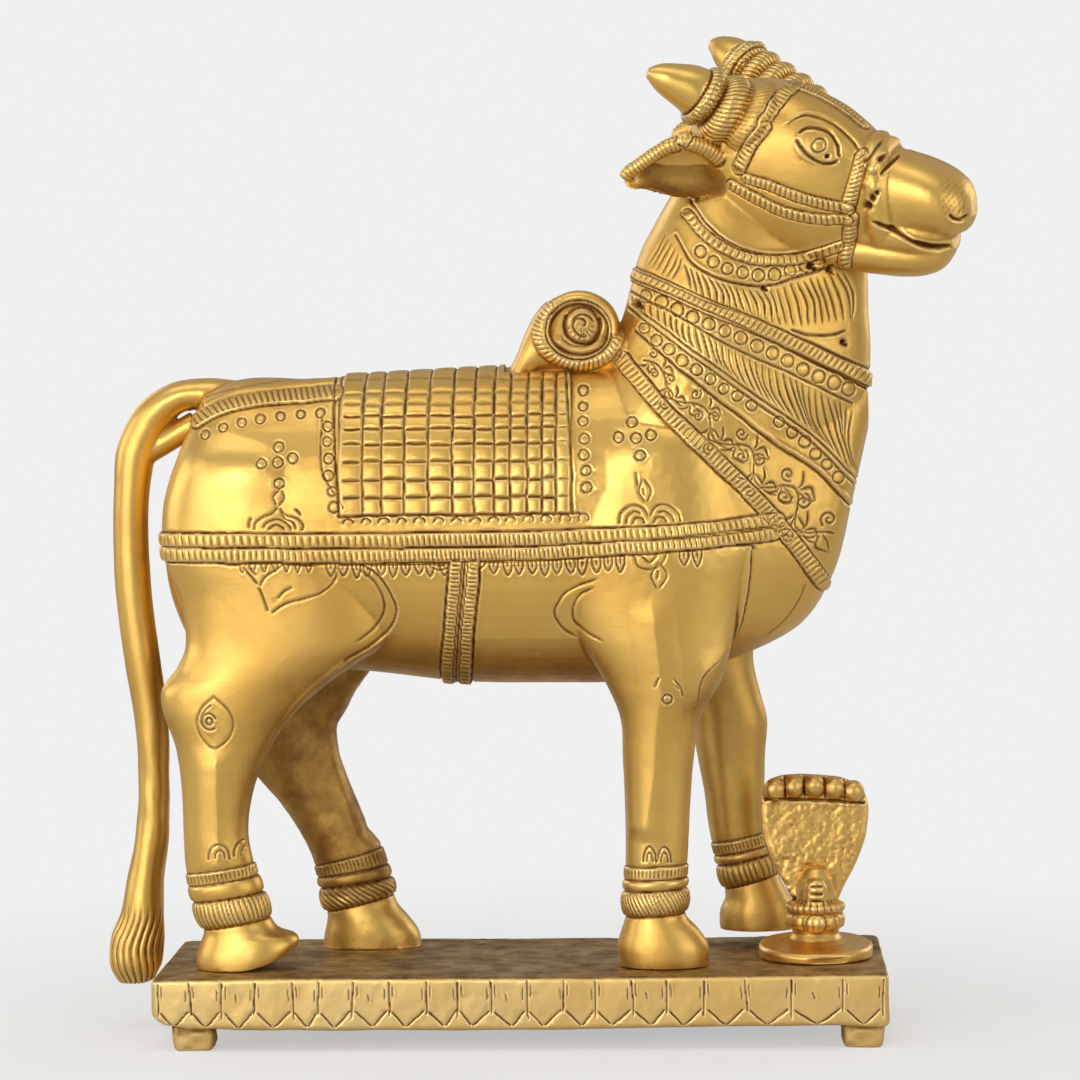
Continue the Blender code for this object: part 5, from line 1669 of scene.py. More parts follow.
def bull_region(centres):
    """Number of the piece that each triangle goes to: head, neck, chest, side, rump, legs."""
    x, _, z = centres.T
    choice = np.where(x > PART_RUMP_X, 3, 4)
    choice[x > PART_SHOULDER_X] = 2
    choice[(x > PART_SHOULDER_X) & (z > PART_CHEST_Z)] = 1
    choice[(x > PART_HUMP_X) & (z > PART_HUMP_Z)] = 1
    choice[z > PART_HEAD_Z] = 0
    choice[z < PART_LEGS_Z] = 5
    return choice


def cast_bull(settings):
    """The bull, chased all over."""
    cell = settings.cell * 1.0
    item = join_forms("nandi_casting", bull_forms())
    weld(item, cell, int(settings.softening * (BASE_CELL / cell) ** 2) + 1)
    put_places(item.data, shape_feet(places_of(item.data)))
    ease_soles(item)
    skin = Skin(item)
    x, y, z = skin.places.T
    tail = (x < -103.0) | ((x < -96.0) & (z < 120.0) & (np.abs(y - BULL_Y) < 8.0))
    on_body = (z > 92.0) & ~tail & (z < 185.0)
    flank = skin.ground(on_body & (x < 72.0), skin.places[:, [0, 2]])
    chase_girth(flank)
    chase_belly_strap(skin.ground(on_body & (z < 127.6), skin.places[:, [0, 2]]))
    on_scroll = (x > -8.0) & (z > 175.4)
    on_back = on_body & ~on_scroll & (x > -56.0) & (x < 16.0) & (z > 137.0)
    chase_blanket(skin.ground(on_back, skin.places[:, [0, 2]]))
    chase_rump(flank)
    chase_flank_motifs(flank)
    local = from_head(skin.places)
    face = (local[:, 0] > 35.5) & (local[:, 2] > -25.0)
    scroll = np.hypot(x - SCROLL_EYE[0], z - SCROLL_EYE[1]) < 13.2
    chase_neck(skin.ground((x > 20.0) & (z > 112.0) & (z < 222.0) & ~face & ~scroll, skin.places[:, [0, 2]]))
    chase_scroll(skin)
    chase_head(skin)
    chase_horns(skin)
    chase_ears(skin)
    chase_legs(skin)
    chase_tail(skin)
    shade_and_tarnish_bull(skin)
    finish_skin(skin, cell, settings.triangles)
    names = ("bull_head", "bull_neck", "bull_chest", "bull_side", "bull_rump", "bull_legs")
    return part_casting(item, names, bull_region)


# Plinth, mm
PLINTH_LENGTH, PLINTH_DEPTH, PLINTH_MIDDLE_X = 192.2, 72.0, -4.7
SLAB_UNDERSIDE = 5.2
FOOT_SIZE = (11.5, 11.0)
FOOT_INSET = {-1: 10.8, 1: 6.8}
PETAL_WIDTHS = (
    8.4, 8.4, 8.6, 9.9, 6.8, 9.1, 9.1, 9.7, 8.4, 8.6, 9.4, 9.4, 8.4, 9.4, 8.9, 9.9, 10.7, 11.7, 13.6, 10.4,
)
FIRST_PETAL = 1.9
TOP_SAG = ((-100.8, -0.1), (-61.5, 0.25), (-1.6, -0.05), (42.5, 0.05), (67.0, 0.25), (91.4, 0.35))
UNDER_SAG = (
    (-100.8, 3.8), (-97.5, 1.9), (-91.0, 0.8), (-60.0, 0.3), (0.0, 0.0), (45.0, 0.7),
    (77.0, 0.8), (91.4, 0.3),
)


def slab_rings():
    """Rings of the slab from its underside up, rounded at every edge."""
    rings = []
    half_length, half_depth, corner = PLINTH_LENGTH / 2, PLINTH_DEPTH / 2, 2.4
    turn = np.linspace(0.0, math.pi / 2, 7)
    outline = []
    for quarter, (side_x, side_y) in enumerate(((1, 1), (-1, 1), (-1, -1), (1, -1))):
        first = quarter * math.pi / 2
        middle = np.array((side_x * (half_length - corner), side_y * (half_depth - corner)))
        outline.append(middle + corner * np.stack([np.cos(turn + first), np.sin(turn + first)], axis=-1))
    outline = np.concatenate(outline)
    levels = []
    for step in np.linspace(0.0, math.pi / 2, 5):
        levels.append((SLAB_UNDERSIDE + 1.3 * (1 - math.sin(step)), 1.3 * (1 - math.cos(step))))
    lower = [(z, inset) for z, inset in levels[::-1]]
    upper = [(SLAB_TOP + SLAB_UNDERSIDE - z, inset) for z, inset in levels]
    for z, inset in lower + upper:
        shrink = np.array((1 - inset / half_length, 1 - inset / half_depth))
        flat = outline * shrink
        rings.append(np.stack([PLINTH_MIDDLE_X + flat[:, 0], flat[:, 1], np.full(len(flat), z)], axis=-1))
    return rings


def foot_rings(end, side):
    """Rings of one short foot, rounded and a little narrower below."""
    x = PLINTH_MIDDLE_X + end * (PLINTH_LENGTH / 2 - FOOT_INSET[end])
    y = side * (PLINTH_DEPTH / 2 - FOOT_SIZE[1] / 2 - 1.0)
    reach, rise = squared_circle(5.0)
    rings = []
    for z, share in ((0.0, 0.80), (0.5, 0.88), (1.6, 0.93), (4.4, 0.98), (8.0, 1.0)):
        ring_x = x + reach * FOOT_SIZE[0] / 2 * share
        ring_y = y + rise * FOOT_SIZE[1] / 2 * share
        rings.append(np.stack([ring_x, ring_y, np.full_like(reach, z)], axis=-1))
    return rings


def chase_petals(face, start, widths, neat):
    """Row of cut petals: stems, points between them and short ticks."""
    edges = start + np.concatenate(([0.0], np.cumsum(widths)))
    for index, x in enumerate(edges):
        lean = 0.0 if neat else 0.35 * math.sin(index * 1.9)
        foot = 8.6 + (0.0 if neat else 0.9 * math.sin(index * 2.7))
        face.engrave(((x, 18.8), (x + lean, foot)), 0.5, 0.19, taper=1.2, burr=0.03)
        if index == len(widths):
            break
        width = widths[index]
        tip = (x + width * (0.5 + (0.0 if neat else 0.06 * math.sin(index * 3.3))), 6.3)
        face.engrave(((x + width * 0.05, 10.5), tip), 0.6, 0.22, taper=0.7, burr=0.0)
        face.engrave((tip, (x + width * 0.96, 10.8)), 0.6, 0.22, taper=0.7, burr=0.0)
        if neat:
            continue
        face.engrave(((x + 0.95, 17.6), (x + 1.1, 13.6)), 0.2, 0.16, taper=1.0)
        face.engrave(((x + width - 1.1, 16.8), (x + width - 1.0, 12.8)), 0.18, 0.16, taper=1.0)
        if index % 4 == 2:
            face.engrave(((x + width * 0.4, 15.5), (x + width * 0.46, 12.6)), 0.12, 0.24, taper=1.0)


def cast_plinth(settings):
    """The slab with its petals and four feet."""
    cell = settings.cell * 1.0
    forms = [loft(slab_rings())]
    forms += [loft(foot_rings(end, side)) for end in (-1, 1) for side in (-1, 1)]
    item = join_forms("plinth_casting", forms)
    weld(item, cell, 3)
    places = places_of(item.data)
    upper = soft_step((places[:, 2] - 8.0) / 10.0)
    slab = places[:, 2] > 4.6
    places[:, 2] += upper * np.interp(places[:, 0], *zip(*TOP_SAG))
    places[:, 2] += np.where(slab, (1.0 - upper) * np.interp(places[:, 0], *zip(*UNDER_SAG)), 0.0)
    put_places(item.data, places)
    skin = Skin(item)
    x, y, z = skin.places.T
    front = skin.ground((skin.ways[:, 1] < -0.6) & (y < -33.0), skin.places[:, [0, 2]])
    left = PLINTH_MIDDLE_X - PLINTH_LENGTH / 2
    chase_petals(front, left + FIRST_PETAL, PETAL_WIDTHS, False)
    back = skin.ground((skin.ways[:, 1] > 0.6) & (y > 33.0), skin.places[:, [0, 2]])
    chase_petals(back, left + 6.0, (10.0,) * 18, True)
    on_top = soft_step((skin.ways[:, 2] - 0.4) / 0.4)
    skin.rough = on_top
    skin.lift += 0.16 * lumps(skin.places, 7.0, 21) + 0.05 * lumps(skin.places, 1.6, 22)
    feet = z < 5.0
    skin.lift += np.where(feet & (z > 0.6), 0.35 * lumps(skin.places, 2.4, 23), 0.0)
    resting = on_top * soft_step((z - 18.0) / 1.0)
    skin.lift = np.minimum(skin.lift, np.where(resting > 0.5, 0.05, 1.0))
    finish_skin(skin, cell, settings.triangles)
    item.name = "plinth_slab"
    return item


# Linga group, mm
SHRINE_X, SHRINE_Y = 73.2, -5.5
SHRINE_PROFILE = (
    (0.0, 14.2),
    (0.5, 15.1),
    (3.0, 15.2),
    (3.7, 14.6),
    (4.4, 9.0),
    (5.2, 7.0),
    (6.8, 6.0),
    (7.8, 6.4),
    (8.4, 7.6),
    (9.6, 8.0),
    (11.2, 7.9),
    (12.2, 7.0),
    (12.9, 7.9),
    (14.2, 8.0),
    (14.8, 7.2),
    (15.2, 4.0),
)
LINGA = ((13.0, 3.2), (17.0, 3.3), (19.4, 3.1), (21.0, 2.4), (21.9, 1.1), (22.2, 0.3))
# Disc thicker towards its back: share at the middle, share for each mm back
DISC_WEDGE = (0.1, 0.033)
LINGA_FORWARD = -4.2
HALO = ((14.0, 4.9), (18.0, 5.1), (21.4, 4.6), (23.9, 3.0), (24.8, 0.6))
HALO_FORWARD = -0.9
HOOD = (
    (-5.2, 13.5),
    (-8.6, 20.0),
    (-12.2, 27.0),
    (-14.2, 35.0),
    (-14.0, 42.0),
    (-12.6, 46.4),
    (-9.0, 48.0),
    (0.0, 48.2),
    (8.0, 47.2),
    (12.2, 45.4),
    (14.2, 41.0),
    (14.0, 34.0),
    (11.6, 26.0),
    (8.0, 19.0),
    (5.4, 13.5),
)
HOOD_THICKNESS = 3.2
HOOD_LAYERS = ((-0.5, 0.90), (-0.32, 1.0), (0.32, 1.0), (0.5, 0.90))
HOOD_BACK = 2.6
HOOD_LEAN = 0.05
COBRA_PLACES = ((-10.4, 44.4), (-5.4, 45.3), (0.0, 45.4), (5.4, 44.9), (10.4, 43.8))
COBRA_RADIUS = 2.95


def turned_rings(profile, x, y, base):
    """Rings of a turned form: heights above the base and radii."""
    reach, rise = squared_circle(2.0)
    return [
        np.stack([x + radius * reach, y + radius * rise, np.full_like(reach, base + height)], axis=-1)
        for height, radius in profile
    ]


def hood_mesh():
    """Cobra hood: its outline, thick in the middle and thin at the rim, leaning back."""
    outline = curve(HOOD, 1.2)
    middle = np.array(HOOD).mean(axis=0)
    rings = []
    for depth, share in HOOD_LAYERS:
        shaped = middle + (outline - middle) * share
        y = SHRINE_Y + HOOD_BACK + depth * HOOD_THICKNESS + HOOD_LEAN * shaped[:, 1]
        rings.append(np.stack([SHRINE_X + shaped[:, 0], y, SOLE + shaped[:, 1]], axis=-1))
    return loft(rings)


def cobra_head(x, height):
    """One small head at the hood's top, bulging forward."""
    y = SHRINE_Y + HOOD_BACK - HOOD_THICKNESS / 2 + HOOD_LEAN * height
    angles = np.linspace(-1.5, 1.5, 13)
    profile = [(COBRA_RADIUS * 1.05 * math.sin(angle), COBRA_RADIUS * math.cos(angle)) for angle in angles]
    return loft(turned_rings(profile, x, y, SOLE + height))


def cast_shrine(settings):
    """Turned base, linga and five-headed hood."""
    cell = settings.cell * 1.0
    forms = [loft(turned_rings(SHRINE_PROFILE, SHRINE_X, SHRINE_Y, SOLE))]
    forms.append(loft(turned_rings(LINGA, SHRINE_X, SHRINE_Y + LINGA_FORWARD, SOLE)))
    forms.append(loft(turned_rings(HALO, SHRINE_X, SHRINE_Y + HALO_FORWARD, SOLE)))
    forms.append(hood_mesh())
    forms += [cobra_head(SHRINE_X + x, height) for x, height in COBRA_PLACES]
    item = join_forms("shrine_casting", forms)
    weld(item, cell, 4)
    places = places_of(item.data)
    places[places[:, 2] < SOLE, 2] = SOLE
    high = places[:, 2] - SOLE
    wedge = DISC_WEDGE[0] + DISC_WEDGE[1] * (places[:, 1] - SHRINE_Y)
    places[:, 2] += wedge * np.minimum(high, 3.0) * np.clip((7.5 - high) / 4.5, 0.0, 1.0)
    put_places(item.data, places)
    skin = Skin(item)
    x, y, z = skin.places.T
    flat = np.stack([x - SHRINE_X, z - SOLE], axis=-1)
    forward = skin.ways[:, 1] < -0.25
    hood = skin.ground((flat[:, 1] > 15.0) & (np.abs(skin.ways[:, 1]) > 0.3) & (y > SHRINE_Y - 1.5), flat)
    everything = np.arange(len(hood.which))
    where = hood.which
    face = soft_step((42.0 - hood.flat[:, 1]) / 2.0)
    inside = soft_step((13.2 - np.abs(hood.flat[:, 0]) - 0.2 * np.abs(hood.flat[:, 1] - 36.0)) / 1.2)
    hammered = np.maximum(lumps(skin.places[where], 1.5, 31), -0.5) + 0.8 * lumps(skin.places[where], 0.8, 32)
    behind = 0.08 * (1 - face) * lumps(skin.places[where], 1.4, 33)
    hood.add(everything, 0.12 * face * (0.25 + 0.75 * inside) * hammered + behind)
    heads = skin.ground(forward & (flat[:, 1] > 40.0), flat)
    heads.engrave(curve(((-13.0, 42.0), (0.0, 41.7), (13.4, 40.8))), 0.6, 0.34)
    for x_line in (-7.8, -2.7, 2.7, 7.9):
        heads.engrave(((x_line, 48.6), (x_line + 0.2, 42.2)), 0.3, 0.22)
    on_linga = forward & (flat[:, 1] > 14.0) & (flat[:, 1] < 25.0) & (np.abs(flat[:, 0]) < 3.6)
    linga = skin.ground(on_linga, flat)
    for level in (15.8, 17.7, 19.8):
        linga.gouge(((-1.9, level), (2.1, level - 0.1)), 0.5, 0.42)
    pitha = skin.ground((flat[:, 1] > 4.0) & (flat[:, 1] < 16.0), flat)
    turn = np.arctan2(y[pitha.which] - SHRINE_Y, x[pitha.which] - SHRINE_X) * 7.5
    everything = np.arange(len(pitha.which))
    rim = soft_step((pitha.flat[:, 1] - 12.4) / 0.5)
    pitha.carve(everything, 0.4 * rim * (1 - rounded_tooth(turn, 1.9, 0.5)))
    belly = soft_step((pitha.flat[:, 1] - 7.9) / 0.6) * soft_step((12.0 - pitha.flat[:, 1]) / 0.6)
    pitha.carve(everything, 0.35 * belly * (1 - rounded_tooth(turn, 3.1, 0.5)))
    boss = skin.ground(forward & (flat[:, 1] > 4.0) & (flat[:, 1] < 16.0), flat)
    points, away, _, _ = boss.near(((-0.4, 9.9), (0.2, 9.9)), 2.4)
    boss.add(points, 0.9 * np.sqrt(np.clip(1.0 - (away / 2.4) ** 2, 0.0, 1.0)))
    skin.lift += 0.12 * lumps(skin.places, 3.2, 34) * (z > SOLE + 0.4)
    disc = soft_step((0.7 - np.abs(skin.ways[:, 2])) / 0.6) * soft_step((SOLE + 5.0 - z) / 1.0)
    angle = np.arctan2(y - SHRINE_Y, x - SHRINE_X)
    skin.lift -= 0.5 * disc * soft_step(np.cos(angle + 1.35) * 12.0 - 11.0)
    skin.rough = np.where(flat[:, 1] > 25.0, 0.15, 0.0)
    finish_skin(skin, cell, settings.triangles)
    item.name = "linga_group"
    return item


def new_node(tree, kind, place, **values):
    """Node of a kind, with its settings."""
    made = tree.nodes.new(kind)
    made.location = place
    for name, value in values.items():
        setattr(made, name, value)
    return made


def layer_value(tree, name, place):
    """Node that reads a value kept on the mesh."""
    return new_node(tree, "ShaderNodeAttribute", place, attribute_name=name)


def feed(tree, node, values):
    """Give numbered inputs of a node a socket to follow or a plain value."""
    for number, value in values:
        if isinstance(value, bpy.types.NodeSocket):
            tree.links.new(value, node.inputs[number])
        else:
            node.inputs[number].default_value = value


def mixed(tree, share, low, high, place):
    """Mix of two colours by a share: sockets or plain colours."""
    mix = new_node(tree, "ShaderNodeMix", place, data_type="RGBA")
    feed(tree, mix, ((0, share), (6, low), (7, high)))
    return mix.outputs[2]


def worked(tree, operation, first, second, place, clamp=False):
    """Arithmetic on two sockets or numbers."""
    math_node = new_node(tree, "ShaderNodeMath", place, operation=operation, use_clamp=clamp)
    feed(tree, math_node, enumerate((first, second)))
    return math_node.outputs[0]


def ranged(tree, value, low, high, new_low, new_high, place):
    """Value brought from one range to another, clamped."""
    mapped = new_node(tree, "ShaderNodeMapRange", place, clamp=True)
    tree.links.new(value, mapped.inputs["Value"])
    mapped.inputs["From Min"].default_value = low
    mapped.inputs["From Max"].default_value = high
    mapped.inputs["To Min"].default_value = new_low
    mapped.inputs["To Max"].default_value = new_high
    return mapped.outputs["Result"]


def noise(tree, vector, scale, detail, roughness, place):
    """Cloudy noise over the piece."""
    made = new_node(tree, "ShaderNodeTexNoise", place)
    tree.links.new(vector, made.inputs["Vector"])
    made.inputs["Scale"].default_value = scale
    made.inputs["Detail"].default_value = detail
    made.inputs["Roughness"].default_value = roughness
    return made.outputs["Fac"]


def rubbed_brass_group():
    """Hand-rubbed cast brass: colour, roughness and fine height from its recesses, wear, tarnish and grain,
    with painted shade in broad hollows, under the belly and on the inner legs, and a painted highlight on
    raised edges.
    """
    group = bpy.data.node_groups.new("Hand-rubbed brass", "ShaderNodeTree")
    for name, kind, value in (
        ("Rubbed colour", "NodeSocketColor", (0.78, 0.505, 0.135, 1.0)),
        ("Warm colour", "NodeSocketColor", (0.64, 0.34, 0.065, 1.0)),
        ("Recess colour", "NodeSocketColor", (0.115, 0.038, 0.005, 1.0)),
        ("Worn and highlight colour", "NodeSocketColor", (0.93, 0.74, 0.38, 1.0)),
        ("Tarnish and shade colour", "NodeSocketColor", (0.25, 0.12, 0.026, 1.0)),
        ("Roughness", "NodeSocketFloat", 0.34),
        ("Tarnish and shade strength", "NodeSocketFloat", 1.0),
        ("Grain", "NodeSocketFloat", 1.0),
    ):
        socket = group.interface.new_socket(name=name, in_out="INPUT", socket_type=kind)
        socket.default_value = value
    for name, kind in (("Colour", "Color"), ("Roughness", "Float"), ("Height", "Float")):
        group.interface.new_socket(name=name, in_out="OUTPUT", socket_type="NodeSocket" + kind)
    given = new_node(group, "NodeGroupInput", (-1600, 0))
    result = new_node(group, "NodeGroupOutput", (1000, 0))
    place = new_node(group, "ShaderNodeTexCoord", (-1600, -400)).outputs["Object"]
    recess = layer_value(group, "recess", (-1400, 500)).outputs["Fac"]
    hollow = layer_value(group, "hollow", (-1400, 300)).outputs["Fac"]
    wear_and_highlight = layer_value(group, "wear_and_highlight", (-1400, 100)).outputs["Fac"]
    tarnish_and_shade = layer_value(group, "tarnish_and_shade", (-1400, -100)).outputs["Fac"]

    clouds = noise(group, place, 28.0, 5.0, 0.55, (-1400, -400))
    blotches = noise(group, place, 120.0, 6.0, 0.65, (-1400, -600))
    grain = noise(group, place, 900.0, 4.0, 0.7, (-1400, -800))
    stretch = new_node(group, "ShaderNodeMapping", (-1400, -1000))
    group.links.new(place, stretch.inputs["Vector"])
    stretch.inputs["Rotation"].default_value = (0.0, math.radians(35.0), 0.0)
    stretch.inputs["Scale"].default_value = (260.0, 260.0, 2600.0)
    rubbing = noise(group, stretch.outputs["Vector"], 1.0, 3.0, 0.6, (-1200, -1000))
    pits = new_node(group, "ShaderNodeTexVoronoi", (-1400, -1300), feature="DISTANCE_TO_EDGE")
    group.links.new(place, pits.inputs["Vector"])
    pits.inputs["Scale"].default_value = 420.0

    # painted shade: broad hollows take the warm colour, as do the random warm clouds of the metal's own tone
    warm_share = ranged(group, clouds, 0.38, 0.66, 0.0, 0.55, (-1000, 300))
    warm_tone_and_hollow_shade = worked(group, "MAXIMUM", warm_share, hollow, (-800, 250))
    colour = mixed(group, warm_tone_and_hollow_shade, given.outputs["Rubbed colour"], given.outputs["Warm colour"], (-600, 300))
    # wear and painted highlight: raised edges take the paler worn colour
    worn_and_highlight_share = ranged(group, wear_and_highlight, 0.15, 0.9, 0.0, 0.6, (-800, 0))
    colour = mixed(group, worn_and_highlight_share, colour, given.outputs["Worn and highlight colour"], (-400, 250))
    # tarnish and painted shade: the tarnish colour also darkens the belly, the inner legs and the ears'
    # hollows
    tarnish_and_shade_share = worked(group, "MULTIPLY", tarnish_and_shade, given.outputs["Tarnish and shade strength"], (-600, -150))
    patches = ranged(group, blotches, 0.34, 0.66, 0.45, 1.0, (-800, -250))
    patchy = worked(group, "MULTIPLY", tarnish_and_shade_share, patches, (-400, -150), True)
    colour = mixed(group, patchy, colour, given.outputs["Tarnish and shade colour"], (-200, 200))
    specks = new_node(group, "ShaderNodeTexVoronoi", (-1400, 700))
    group.links.new(place, specks.inputs["Vector"])
    specks.inputs["Scale"].default_value = 230.0
    speck = ranged(group, specks.outputs["Distance"], 0.02, 0.09, 0.5, 0.0, (-1000, 700))
    scattered = ranged(group, blotches, 0.55, 0.6, 0.0, 1.0, (-1000, 900))
    speck = worked(group, "MULTIPLY", speck, scattered, (-800, 700))
    recess = worked(group, "MAXIMUM", recess, speck, (-700, 600))
    uneven = ranged(group, blotches, 0.3, 0.6, 0.72, 1.0, (-600, 500))
    dirt = worked(group, "MULTIPLY", recess, uneven, (-200, 450), True)
    colour = mixed(group, dirt, colour, given.outputs["Recess colour"], (0, 200))
    group.links.new(colour, result.inputs["Colour"])

    cloudy = ranged(group, clouds, 0.35, 0.65, -0.03, 0.06, (-400, -350))
    rough = worked(group, "ADD", given.outputs["Roughness"], cloudy, (-200, -350))
    rough = worked(group, "ADD", rough, worked(group, "MULTIPLY", dirt, 0.25, (-200, -500)), (0, -350))
    rough = worked(group, "ADD", rough, worked(group, "MULTIPLY", patchy, 0.22, (0, -500)), (200, -350), True)
    group.links.new(rough, result.inputs["Roughness"])

    coarse = worked(group, "MULTIPLY", patchy, 1.2, (-600, -800))
    coarse = worked(group, "ADD", 0.35, coarse, (-400, -800))
    fine = worked(group, "MULTIPLY", grain, coarse, (-200, -800))
    height = worked(group, "ADD", fine, worked(group, "MULTIPLY", rubbing, 0.35, (-400, -1000)), (0, -800))
    pitted = ranged(group, pits.outputs["Distance"], 0.0, 0.08, -0.25, 0.0, (-400, -1300))
    pitted = worked(group, "MULTIPLY", pitted, patchy, (-200, -1300))
    height = worked(group, "ADD", height, pitted, (200, -800))
    height = worked(group, "MULTIPLY", height, given.outputs["Grain"], (400, -800))
    group.links.new(height, result.inputs["Height"])
    return group


# Finest grain of the brass: share of the bump, and its height in mm
GRAIN_STRENGTH = 0.2
GRAIN_HEIGHT = 0.4


def brass_material(name, group, values):
    """Brass of one casting, from the shared group and its own colours."""
    material = bpy.data.materials.new(name)
    material.use_nodes = True
    tree = material.node_tree
    shader = tree.nodes["Principled BSDF"]
    shader.inputs["Metallic"].default_value = 1.0
    shader.inputs["Coat Weight"].default_value = 0.12
    shader.inputs["Coat Roughness"].default_value = 0.32
    finish = new_node(tree, "ShaderNodeGroup", (-500, 0), node_tree=group)
    for socket, value in values.items():
        finish.inputs[socket].default_value = value
    tree.links.new(finish.outputs["Colour"], shader.inputs["Base Color"])
    tree.links.new(finish.outputs["Roughness"], shader.inputs["Roughness"])
    relief = new_node(tree, "ShaderNodeBump", (-250, -250))
    relief.inputs["Strength"].default_value = GRAIN_STRENGTH
    relief.inputs["Distance"].default_value = GRAIN_HEIGHT * MM
    tree.links.new(finish.outputs["Height"], relief.inputs["Height"])
    tree.links.new(relief.outputs["Normal"], shader.inputs["Normal"])
    return material


def shared_group():
    """The brass group, built once."""
    found = bpy.data.node_groups.get("Hand-rubbed brass")
    return found or rubbed_brass_group()


def settle_piece(item, material, node):
    """Give a piece its finish and its place on the frame."""
    item.data.materials.clear()
    item.data.materials.append(material)
    face_ways(item)
    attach(item, "root")
    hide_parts(node)


# Photograph's camera and the studio
CAMERA_TARGET = (0.0009, 0.0, 0.1311)
CAMERA_DISTANCE = 1.12056
CAMERA_AZIMUTH = math.radians(2.3)
CAMERA_ELEVATION = math.radians(2.8)
CAMERA_ROLL = math.radians(0.7)
LIGHT_AIM = (0.0, 0.0, 0.13)
# Lights: name, degrees round from the front and above the floor, distance, size across and up, power, colour
LIGHTS = (
    ("key", -30.0, 8.0, 1.6, (1.3, 0.7), 6.9, (1.0, 0.985, 0.95)),
    ("glint", -15.0, 17.0, 1.6, (0.18, 0.18), 2.6, (1.0, 0.97, 0.90)),
    ("side_glint", -58.0, 26.0, 1.6, (0.18, 0.18), 0.8, (1.0, 0.97, 0.90)),
    ("left", -88.0, 14.0, 1.6, (1.0, 0.7), 4.2, (1.0, 0.98, 0.95)),
    ("right", 52.0, 12.0, 1.6, (1.3, 0.7), 4.8, (1.0, 0.98, 0.95)),
    ("top", -20.0, 70.0, 1.5, (1.5, 0.6), 4.0, (1.0, 0.99, 0.97)),
    ("right_rim", 130.0, 16.0, 1.6, (0.8, 0.8), 3.4, (1.0, 0.99, 0.97)),
    ("left_rim", -140.0, 20.0, 1.6, (0.8, 0.8), 2.8, (1.0, 0.99, 0.97)),
)


def view_matrix():
    """Camera's place and turn."""
    back = Vector(
        (
            math.sin(CAMERA_AZIMUTH) * math.cos(CAMERA_ELEVATION),
            -math.cos(CAMERA_AZIMUTH) * math.cos(CAMERA_ELEVATION),
            math.sin(CAMERA_ELEVATION),
        )
    )
    level = Vector((math.cos(CAMERA_AZIMUTH), math.sin(CAMERA_AZIMUTH), 0.0))
    upright = level.cross(-back)
    right = level * math.cos(CAMERA_ROLL) - upright * math.sin(CAMERA_ROLL)
    up = upright * math.cos(CAMERA_ROLL) + level * math.sin(CAMERA_ROLL)
    turned = Matrix((right, up, back)).transposed().to_4x4()
    turned.translation = Vector(CAMERA_TARGET) + back * CAMERA_DISTANCE
    return turned


def build_world(settings):
    """Pale background, with a studio's gradient in the reflections."""
    world = bpy.data.worlds.new("studio")
    world.use_nodes = True
    tree = world.node_tree
    tree.nodes.clear()
    output = new_node(tree, "ShaderNodeOutputWorld", (800, 0))
    seen = new_node(tree, "ShaderNodeBackground", (300, 150))
    seen.inputs["Color"].default_value = (*settings.background, 1.0)
    room = new_node(tree, "ShaderNodeBackground", (300, -150))
    way = new_node(tree, "ShaderNodeTexCoord", (-800, -150))
    split = new_node(tree, "ShaderNodeSeparateXYZ", (-600, -150))
    tree.links.new(way.outputs["Generated"], split.inputs["Vector"])
    rise = ranged(tree, split.outputs["Z"], -1.0, 1.0, 0.0, 1.0, (-400, -100))
    ramp = new_node(tree, "ShaderNodeValToRGB", (-200, -150))
    stops = ((0.0, 0.46), (0.45, 0.36), (0.6, 0.18), (0.72, 0.30), (0.82, 0.42), (1.0, 0.40))
    while len(ramp.color_ramp.elements) < len(stops):
        ramp.color_ramp.elements.new(0.5)
    for element, (place, level) in zip(ramp.color_ramp.elements, stops):
        element.position = place
        element.color = (level, level * 0.985, level * 0.96, 1.0)
    tree.links.new(rise, ramp.inputs["Fac"])
    tree.links.new(ramp.outputs["Color"], room.inputs["Color"])
    room.inputs["Strength"].default_value = settings.room_light
    pick = new_node(tree, "ShaderNodeMixShader", (550, 0))
    path = new_node(tree, "ShaderNodeLightPath", (300, 450))
    tree.links.new(path.outputs["Is Camera Ray"], pick.inputs["Fac"])
    tree.links.new(room.outputs["Background"], pick.inputs[1])
    tree.links.new(seen.outputs["Background"], pick.inputs[2])
    tree.links.new(pick.outputs["Shader"], output.inputs["Surface"])
    bpy.context.scene.world = world


